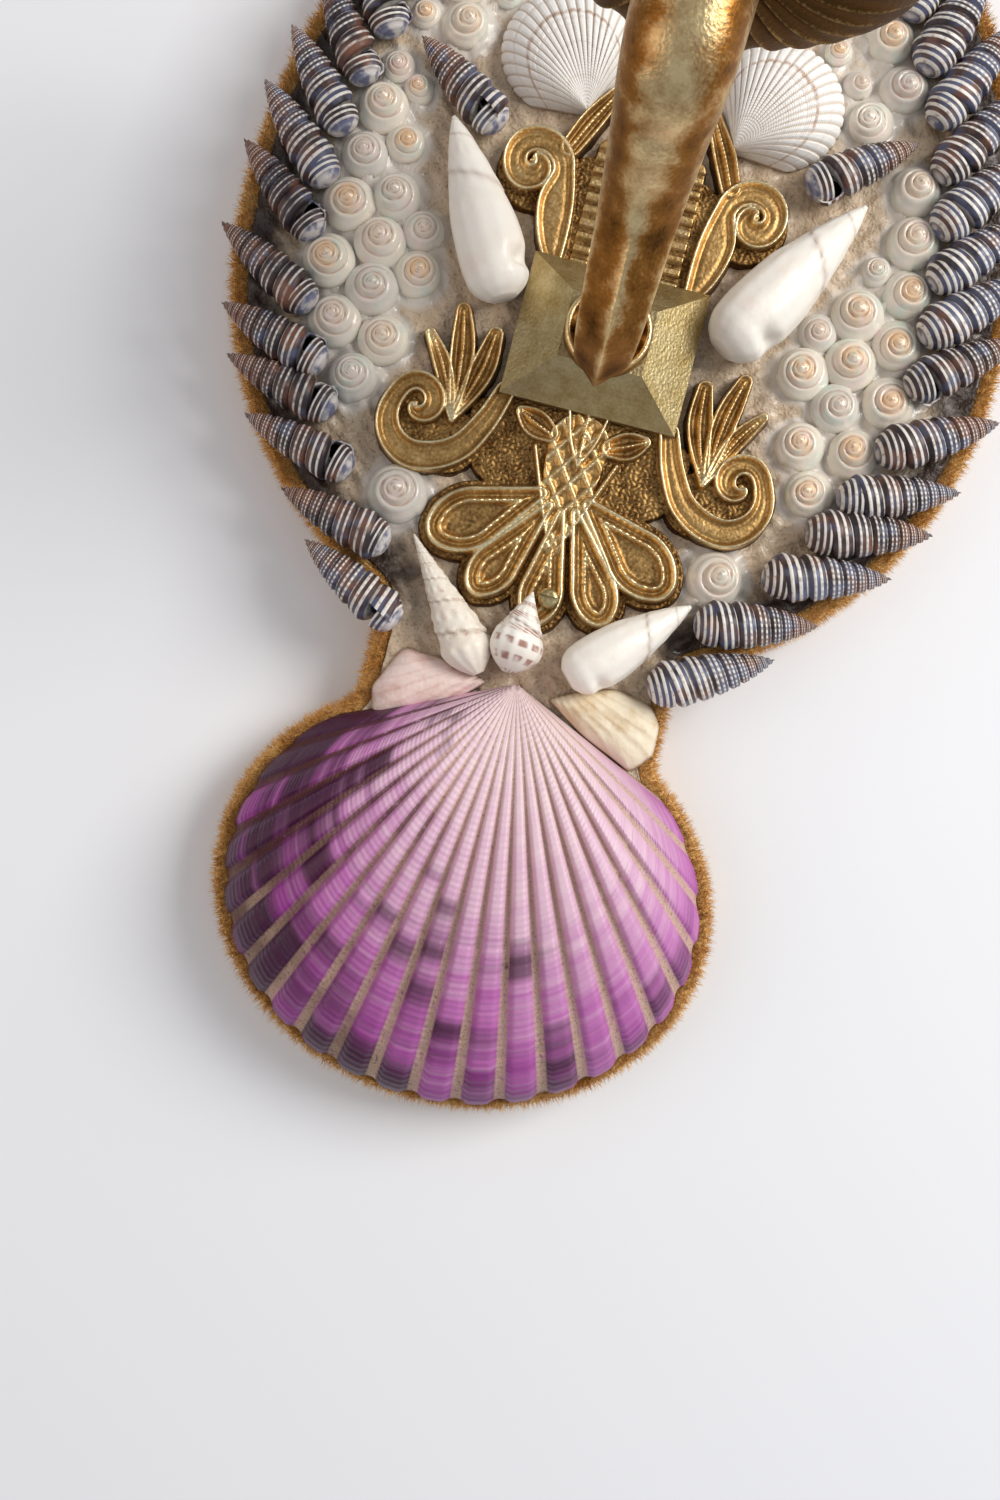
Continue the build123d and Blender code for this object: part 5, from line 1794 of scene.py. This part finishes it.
@dataclass
class Nozzle:
    """The lift-off drip pan and candle cup, turned about the plumb axis of the arm's end."""

    finish: bpy.types.Material
    reach: float = 100.0
    seat: float = 22.0
    wall: float = 1.6
    hub: float = 9.0
    ribs: int = 36
    bore: float = 11.2
    bore_depth: float = 22.0
    tenon: float = 4.0
    belly: float = 10.4

    def _turn(self, name: str, node: str, outline: Sequence[Point], columns: int, wave: Sequence[float] = (),
              relief: Sequence[float] = ()) -> None:
        """Turn an outline of radius and height into a piece.

        Args:
            name: the piece's name.
            node: the CAD node that it stands for.
            outline: closed outline of radius and height.
            columns: points round the axis.
            wave: rise of the gadroons at each point of the outline.
            relief: brightness of the high spots at each point, low for painted shade.
        """
        profile = np.array(outline)
        angle = circle(columns)
        swing = np.array(wave)[:, None] if len(wave) else np.zeros((len(profile), 1))
        shine = np.array(relief)[:, None] if len(relief) else np.full((len(profile), 1), 0.62)
        crest = 0.5 - np.abs(np.sin(0.5 * self.ribs * angle)) ** 0.8
        radius = profile[:, :1] + 0.0 * angle
        tall = profile[:, 1:] - swing * crest
        points = np.stack([radius * np.cos(angle), tall, self.reach + radius * np.sin(angle)], axis=-1)
        piece = Piece(name)
        piece.grid(points, ring=True, relief=shine + 0.5 * crest * np.sign(np.abs(swing)))
        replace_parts(piece.build(self.finish, "brass", NOZZLE, sharp=40.0), node)

    def build(self) -> None:
        """Build the pan and the cup."""
        self._pan()
        self._cup()

    def _pan(self) -> None:
        """Gadrooned dish with a plain rolled rim, its underside painted dark as shade."""
        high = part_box("drip_pan")[1]
        rim, wide = high.z / MM, high.x / MM
        share = np.linspace(0.0, 1.0, 26)
        under = [(self.hub + (wide - 10.0) * s, self.seat - 1.6 * math.sin(math.pi * s) + 3.0 * s**5) for s in share]
        lip = [(wide - 0.7, rim - 5.0), (wide - 0.2, rim - 2.0), (wide, rim - 0.5), (wide - 0.5, rim),
               (wide - 1.3, rim - 0.3), (wide - 1.9, rim - 2.4)]
        floor = self.seat + self.wall
        inside = [(self.hub + (wide - 11.6) * s, floor - 1.4 * math.sin(math.pi * s) + 3.2 * s**5)
                  for s in share[::-1]]
        hub = [(self.tenon + 0.3, floor), (self.tenon + 0.3, self.seat), (self.hub, self.seat)]
        swell = np.sin(math.pi * np.clip((share - 0.1) / 0.88, 0.0, 1.0)) ** 0.6
        wave = list(1.1 * swell) + [0.0] * len(lip) + list(0.8 * swell[::-1]) + [0.0] * len(hub)
        # Painted shade: the underside is set almost to the dark colour, the lip and the bowl brighter
        shine = [0.02] * len(under) + [0.6] * len(lip) + [0.5] * len(inside) + [0.4] * len(hub)
        self._turn("drip_dish", "drip_pan", under + lip + inside + hub, 12 * self.ribs, wave, shine)

    def _cup(self) -> None:
        """Candle cup on a waisted stem, with a flared rim and a tenon below."""
        low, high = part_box("candle_cup")
        top, foot, base = high.z / MM, low.z / MM, self.seat + self.wall
        bore, tenon, swell, floor = self.bore, self.tenon, self.belly, top - self.bore_depth
        stem = [(0.02, foot), (tenon - 0.4, foot), (tenon, foot + 0.4), (tenon, base), (10.2, base), (10.2, base + 1.0),
                (9.8, base + 1.4), (7.6, base + 1.8), (6.0, base + 2.7), (5.2, base + 3.9), (5.3, base + 5.0)]
        angle = np.linspace(-1.32, 0.38, 22)
        belly = [(3.47 + swell * math.cos(a), floor + 4.95 + swell * math.sin(a)) for a in angle]
        lip = [(13.2, floor + 10.5), (13.2, top - 3.4), (13.6, top - 2.6), (15.0, top - 1.4), (15.2, top - 0.8),
               (15.0, top - 0.2), (14.4, top), (11.6, top), (bore, top - 0.4), (bore, floor), (0.02, floor)]
        self._turn("candle_socket", "candle_cup", stem + belly + lip, 96)


@dataclass
class Arm:
    """The curved leaf arm, with the rosette and the boss that it springs from.

    Each station of the arm has its share of the length, its distance from the wall, its height, width and thickness.
    """

    finish: bpy.types.Material
    plain: bpy.types.Material
    middle: float = -13.5
    bore: float = 4.05
    bore_depth: float = 14.5
    rosette_radius: float = 8.6
    petals: int = 12
    stations: Sequence[Tuple[float, ...]] = (
        (0.0, 28.0, -13.5, 9.6, 9.6), (0.13, 34.0, -14.2, 9.0, 9.4), (0.25, 43.8, -21.6, 8.6, 8.8),
        (0.4, 56.8, -28.4, 9.0, 8.0), (0.55, 68.3, -26.0, 10.8, 7.8), (0.7, 78.4, -9.6, 13.2, 9.6),
        (0.84, 90.2, 0.4, 15.6, 13.4), (0.93, 97.6, 7.4, 17.4, 16.6), (1.0, 100.0, 18.6, 18.2, 17.4))

    def build(self) -> None:
        """Build the arm, the rosette and the boss."""
        self._arm()
        self._rosette()
        dress(["arm_boss"], self.plain)

    def _arm(self) -> None:
        """Keeled arm, drawn from the rosette down and out to the socket under the pan."""
        share = np.linspace(0.0, 1.0, 130)
        values = hermite(share, np.array(self.stations))
        out, up, wide, thick = values.T
        run = np.gradient(np.stack([up, out], axis=-1), axis=0)
        run /= np.linalg.norm(run, axis=1, keepdims=True)
        angle = circle(40)
        power = 1.0 + (1.05 * smooth(share, 0.0, 0.22) - 1.15 * smooth(share, 0.5, 0.9))[:, None]
        u, v = bent(np.cos(angle), power), bent(np.sin(angle), power)
        x = 0.5 * wide[:, None] * u
        lift = 0.5 * thick[:, None] * v
        y = up[:, None] + lift * run[:, 1:]
        z = out[:, None] - lift * run[:, :1]
        bright = 0.35 + 0.5 * np.abs(v) ** 6 + 0.45 * np.abs(u) ** 8
        piece = Piece("arm_leaf")
        piece.grid(np.stack([x, y, z], axis=-1), ring=True, caps=Ends.BOTH, relief=bright)
        top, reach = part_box("arm")[1].z / MM, self.stations[-1][1]
        profile = np.array([(0.02, -15.5), (4.4, -15.5), (5.4, -12.0), (6.4, -4.6), (7.4, -3.6), (8.8, -2.0),
                            (9.0, -1.4), (9.0, 0.0), (self.bore, 0.0), (self.bore, -self.bore_depth),
                            (0.02, -self.bore_depth)])
        way, radius = circle(64), profile[:, :1]
        socket = [radius * np.cos(way), top + profile[:, 1:] + 0.0 * way, reach + radius * np.sin(way)]
        piece.grid(np.stack(socket, axis=-1), ring=True, relief=0.55)
        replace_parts(piece.build(self.finish, "brass", sharp=60.0), "arm")

    def _rosette(self) -> None:
        """Round collar with hammered petals and a rolled rim."""
        back, front = depths("rosette")
        share = np.array([1.0, 1.0, 0.985, 0.95, 0.9, 0.85, 0.8, 0.7, 0.6, 0.5, 0.4, 0.3])
        rise = np.array([0.0, 0.5, 0.72, 0.86, 0.9, 0.82, 0.7, 0.74, 0.82, 0.9, 0.96, 1.0])
        petal = np.array([0.0, 0.0, 0.0, 0.0, 0.0, 0.02, 0.06, 0.1, 0.1, 0.08, 0.04, 0.0])
        angle = circle(144)
        petals = np.cos(self.petals * angle)
        radius = (self.rosette_radius * share)[:, None]
        tall = rise[:, None] - petal[:, None] * (0.5 - 0.5 * petals)
        points = np.stack([radius * np.cos(angle), self.middle + radius * np.sin(angle),
                           back + (front - back) * tall], axis=-1)
        shine = np.array([0.3, 0.5, 0.8, 1.0, 0.95, 0.6, 0.35, 0.45, 0.5, 0.55, 0.5, 0.4])[:, None]
        piece = Piece("rosette_collar")
        piece.grid(points, ring=True, caps=Ends.BOTH, relief=shine + 2.0 * petals * petal[:, None])
        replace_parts(piece.build(self.finish, "brass"), "rosette")


# Stage

@dataclass
class Studio:
    """A pale wall, soft daylight from the right and the camera at the photograph's angle."""

    opening: np.ndarray
    wall_reach: float = 2.5
    wall_gap: float = 0.0006
    aim: Place = (0.0, 0.0, -0.04)
    distance: float = 0.315
    height: float = -0.097
    roll: float = 14.5
    lens: float = 36.0
    film: float = 36.0
    window: Place = (0.62, -0.62, 0.34)
    window_power: float = 8.2
    lamp: Place = (-0.7, -0.6, -0.25)
    lamp_power: float = 1.7
    sky: Colour = colour(230, 238, 250)
    sky_strength: float = 0.46

    def build(self) -> None:
        """Build the wall, the lights, the sky and the camera."""
        self._wall()
        self._light("window", self.window, 0.5, self.window_power, colour(255, 252, 248))
        self._light("room", self.lamp, 0.7, self.lamp_power, colour(255, 226, 196))
        world = bpy.data.worlds.new("pale_room")
        world.use_nodes = True
        background = world.node_tree.nodes["Background"]
        background.inputs["Color"].default_value = self.sky
        background.inputs["Strength"].default_value = self.sky_strength
        bpy.context.scene.world = world
        bpy.context.scene.view_settings.view_transform = "Standard"
        self._camera()

    def _wall(self) -> None:
        """Pale wall, seen from the room only, left open behind the plaque so that daylight reaches its back."""
        mesh = bpy.data.meshes.new("wall")
        far, near = self.wall_reach, self.wall_gap
        loops = [[Vector((x, near, z)) for x, z in plan]
                 for plan in (((-far, -far), (far, -far), (far, far), (-far, far)), MM * self.opening)]
        corners = loops[0] + loops[1]
        faces = []
        for a, b, c in tessellate_polygon(loops):
            turned = (corners[b] - corners[a]).cross(corners[c] - corners[a]).y > 0.0
            faces.append((a, c, b) if turned else (a, b, c))
        mesh.from_pydata(corners, [], faces)
        paint = Paint("pale_wall", {"Roughness": 0.9, "Base Color": colour(240, 241, 243)})
        clear = paint.node("ShaderNodeBsdfTransparent")
        behind = paint.node("ShaderNodeNewGeometry", out="Backfacing")
        mixed = paint.node("ShaderNodeMixShader", None, {0: behind, 1: Value(paint, paint.shader.outputs[0]), 2: clear})
        paint.tree.links.new(mixed.socket, paint.tree.nodes["Material Output"].inputs["Surface"])
        mesh.materials.append(paint.material)
        add_object("wall", mesh)

    def _light(self, name: str, place: Place, size: float, power: float, tone: Colour) -> None:
        """Add a square light that looks at the middle of the plaque.

        Args:
            name: its name.
            place: where it stands, in metres.
            size: length of its side in metres.
            power: its power in watts.
            tone: its colour.
        """
        lamp = bpy.data.lights.new(name, "AREA")
        lamp.size, lamp.energy, lamp.color = size, power, tone[:3]
        made = add_object(name, lamp)
        made.location = place
        made.rotation_euler = (Vector(self.aim) - Vector(place)).to_track_quat("-Z", "Y").to_euler()

    def _camera(self) -> None:
        """Camera square to the wall, rolled so that the plaque leans to the right."""
        lens = bpy.data.cameras.new("camera")
        lens.lens, lens.sensor_width = self.lens, self.film
        made = add_object("camera", lens)
        c, s = math.cos(math.radians(self.roll)), math.sin(math.radians(self.roll))
        axes = Matrix(((c, -s, 0.0), (0.0, 0.0, -1.0), (s, c, 0.0)))
        made.matrix_world = Matrix.Translation((0.0, -self.distance, self.height)) @ axes.to_4x4()
        bpy.context.scene.camera = made


def dress(nodes: Sequence[str], material: bpy.types.Material) -> None:
    """Give CAD nodes that show a finish.

    Args:
        nodes: names of the nodes.
        material: their finish.
    """
    for name in nodes:
        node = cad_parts[name]
        node.data.materials.clear()
        node.data.materials.append(material)
        LOG.info("%s: CAD mesh", name)


# Half outlines of the single shells, as shares of the length and of the radius
SMOOTH = [(0.0, 0.42), (0.03, 0.66), (0.08, 0.87), (0.16, 0.98), (0.3, 1.0), (0.45, 0.93), (0.6, 0.76), (0.78, 0.5),
          (0.92, 0.25), (1.0, 0.06)]
TURRET = [(0.0, 0.22), (0.06, 0.6), (0.16, 0.98), (0.3, 0.9), (0.6, 0.54), (0.85, 0.22), (1.0, 0.04)]
WHELK = [(0.0, 0.2), (0.08, 0.56), (0.2, 0.9), (0.36, 1.0), (0.5, 0.86), (0.7, 0.54), (0.88, 0.22), (1.0, 0.03)]

# Corners of the broken ears on the wall
EAR_LEFT = [(-5.5, -84.2), (-15.2, -82.0), (-24.0, -81.6), (-28.4, -91.0), (-26.6, -97.0), (-12.0, -90.5)]
EAR_RIGHT = [(6.5, -84.6), (13.0, -81.4), (19.1, -79.2), (27.2, -80.6), (30.0, -84.2), (30.2, -90.6), (26.5, -95.0),
             (15.0, -90.2)]


def main() -> None:
    """Build every part of the sconce in order."""
    logging.basicConfig(level=logging.INFO, format="%(message)s")
    board = Board(VelvetFinish().make(), GlueFinish().make())
    board.build()

    horn = HornFinish().make()
    HornShells("horn_shells_left", horn, seed=11).build()
    HornShells("horn_shells_right", horn, seed=12, fat=1.22, pale=(0.25, 0.8), mouths=(0.4, 1.7, -1.5, 2.4, 2.9),
               rise=0.32, bare=0.9).build()
    HornShells("horn_shell_crown", horn, seed=13).build()
    HornShells("inner_horn_shells", horn, seed=14).build()
    pearl = PearlFinish().make()
    for seed, node in enumerate(("top_shells_left", "top_shells_right", "top_shells_crown", "pearl_shells"), 31):
        TopShells(node, pearl, seed).build()

    Valve("scallop_shell", "scallop", ScallopFinish().make(), "scallop", hinge=(0.0, -83.3), reach=(48.0, 41.0),
          fan=66.0, ribs=22, rib_rise=1.1, groove=0.06, rows=150).build()
    cockle = CockleFinish().make()
    for side, sign in (("right", 1.0), ("left", -1.0)):
        Valve(f"cockle_{side}", f"cockle_valve_{side}", cockle, "white_shell", hinge=(15.0 * sign, 31.0),
              reach=(13.2, 12.6), fan=62.0, ribs=24, rib_rise=0.36, turn=148.0 * sign, rows=90).build()

    white = WhiteFinish().make()
    for node, notch in (("white_shell_left", 0.34), ("white_shell_right", 0.3), ("spindle_shell", 0.2)):
        LongShell(node, node.replace("shell", "spindle"), white, "white_shell", SMOOTH, whorls=3.0, body_share=0.44,
                  groove=0.012, step=0.02, knobs=0.018, notch=notch).build()
    turret = WhiteFinish("turret_shell", colour(240, 231, 216), colour(216, 184, 152), spots=0.5).make()
    LongShell("turret_shell", "turret_snail", turret, "ear_cream", TURRET, whorls=8.0, body_share=0.16, groove=0.09,
              step=0.06, knobs=0.05, grow=1.2, extend=1.22).build()
    banded = WhiteFinish("banded_shell", bands=0.85).make()
    LongShell("striped_whelk", "striped_snail", banded, "banded_shell", WHELK, whorls=3.6, body_share=0.42,
              groove=0.06, step=0.06, knobs=0.04, dip=-0.14).build()
    pink = ShardFinish("ear_pink", colour(236, 214, 204), colour(208, 164, 152)).make()
    Shard("scallop_ear_left", "ear_left", pink, "ear_pink", EAR_LEFT).build()
    cream = ShardFinish("ear_cream", colour(238, 224, 196), colour(206, 178, 134)).make()
    Shard("scallop_ear_right", "ear_right", cream, "ear_cream", EAR_RIGHT).build()

    brass = BrassFinish().make()
    plain = BrassFinish("plain_brass", colour(232, 220, 178), colour(160, 136, 84), colour(92, 72, 38), mottle=0.3,
                        grit=0.25, level=0.6).make()
    # Darker brass for the arm: partly its worn patina, partly painted shade laid over the whole arm
    worn = BrassFinish("worn_shaded_brass", colour(234, 206, 152), colour(146, 98, 44), colour(56, 30, 8), mottle=0.8,
                       grit=0.3).make()
    Backplate(brass).build()
    Arm(worn, plain).build()
    Nozzle(brass).build()
    dress(["plate_screws"], plain)
    dress(["hanger_plate", "hanger_screws", "arm_stud", "stud_washer", "stud_nut"], SteelFinish().make())
    dress(["backboard"], WoodFinish().make())

    Studio(board.inset(step=4.0, depth=1.5)).build()


if __name__ == "__main__":
    main()
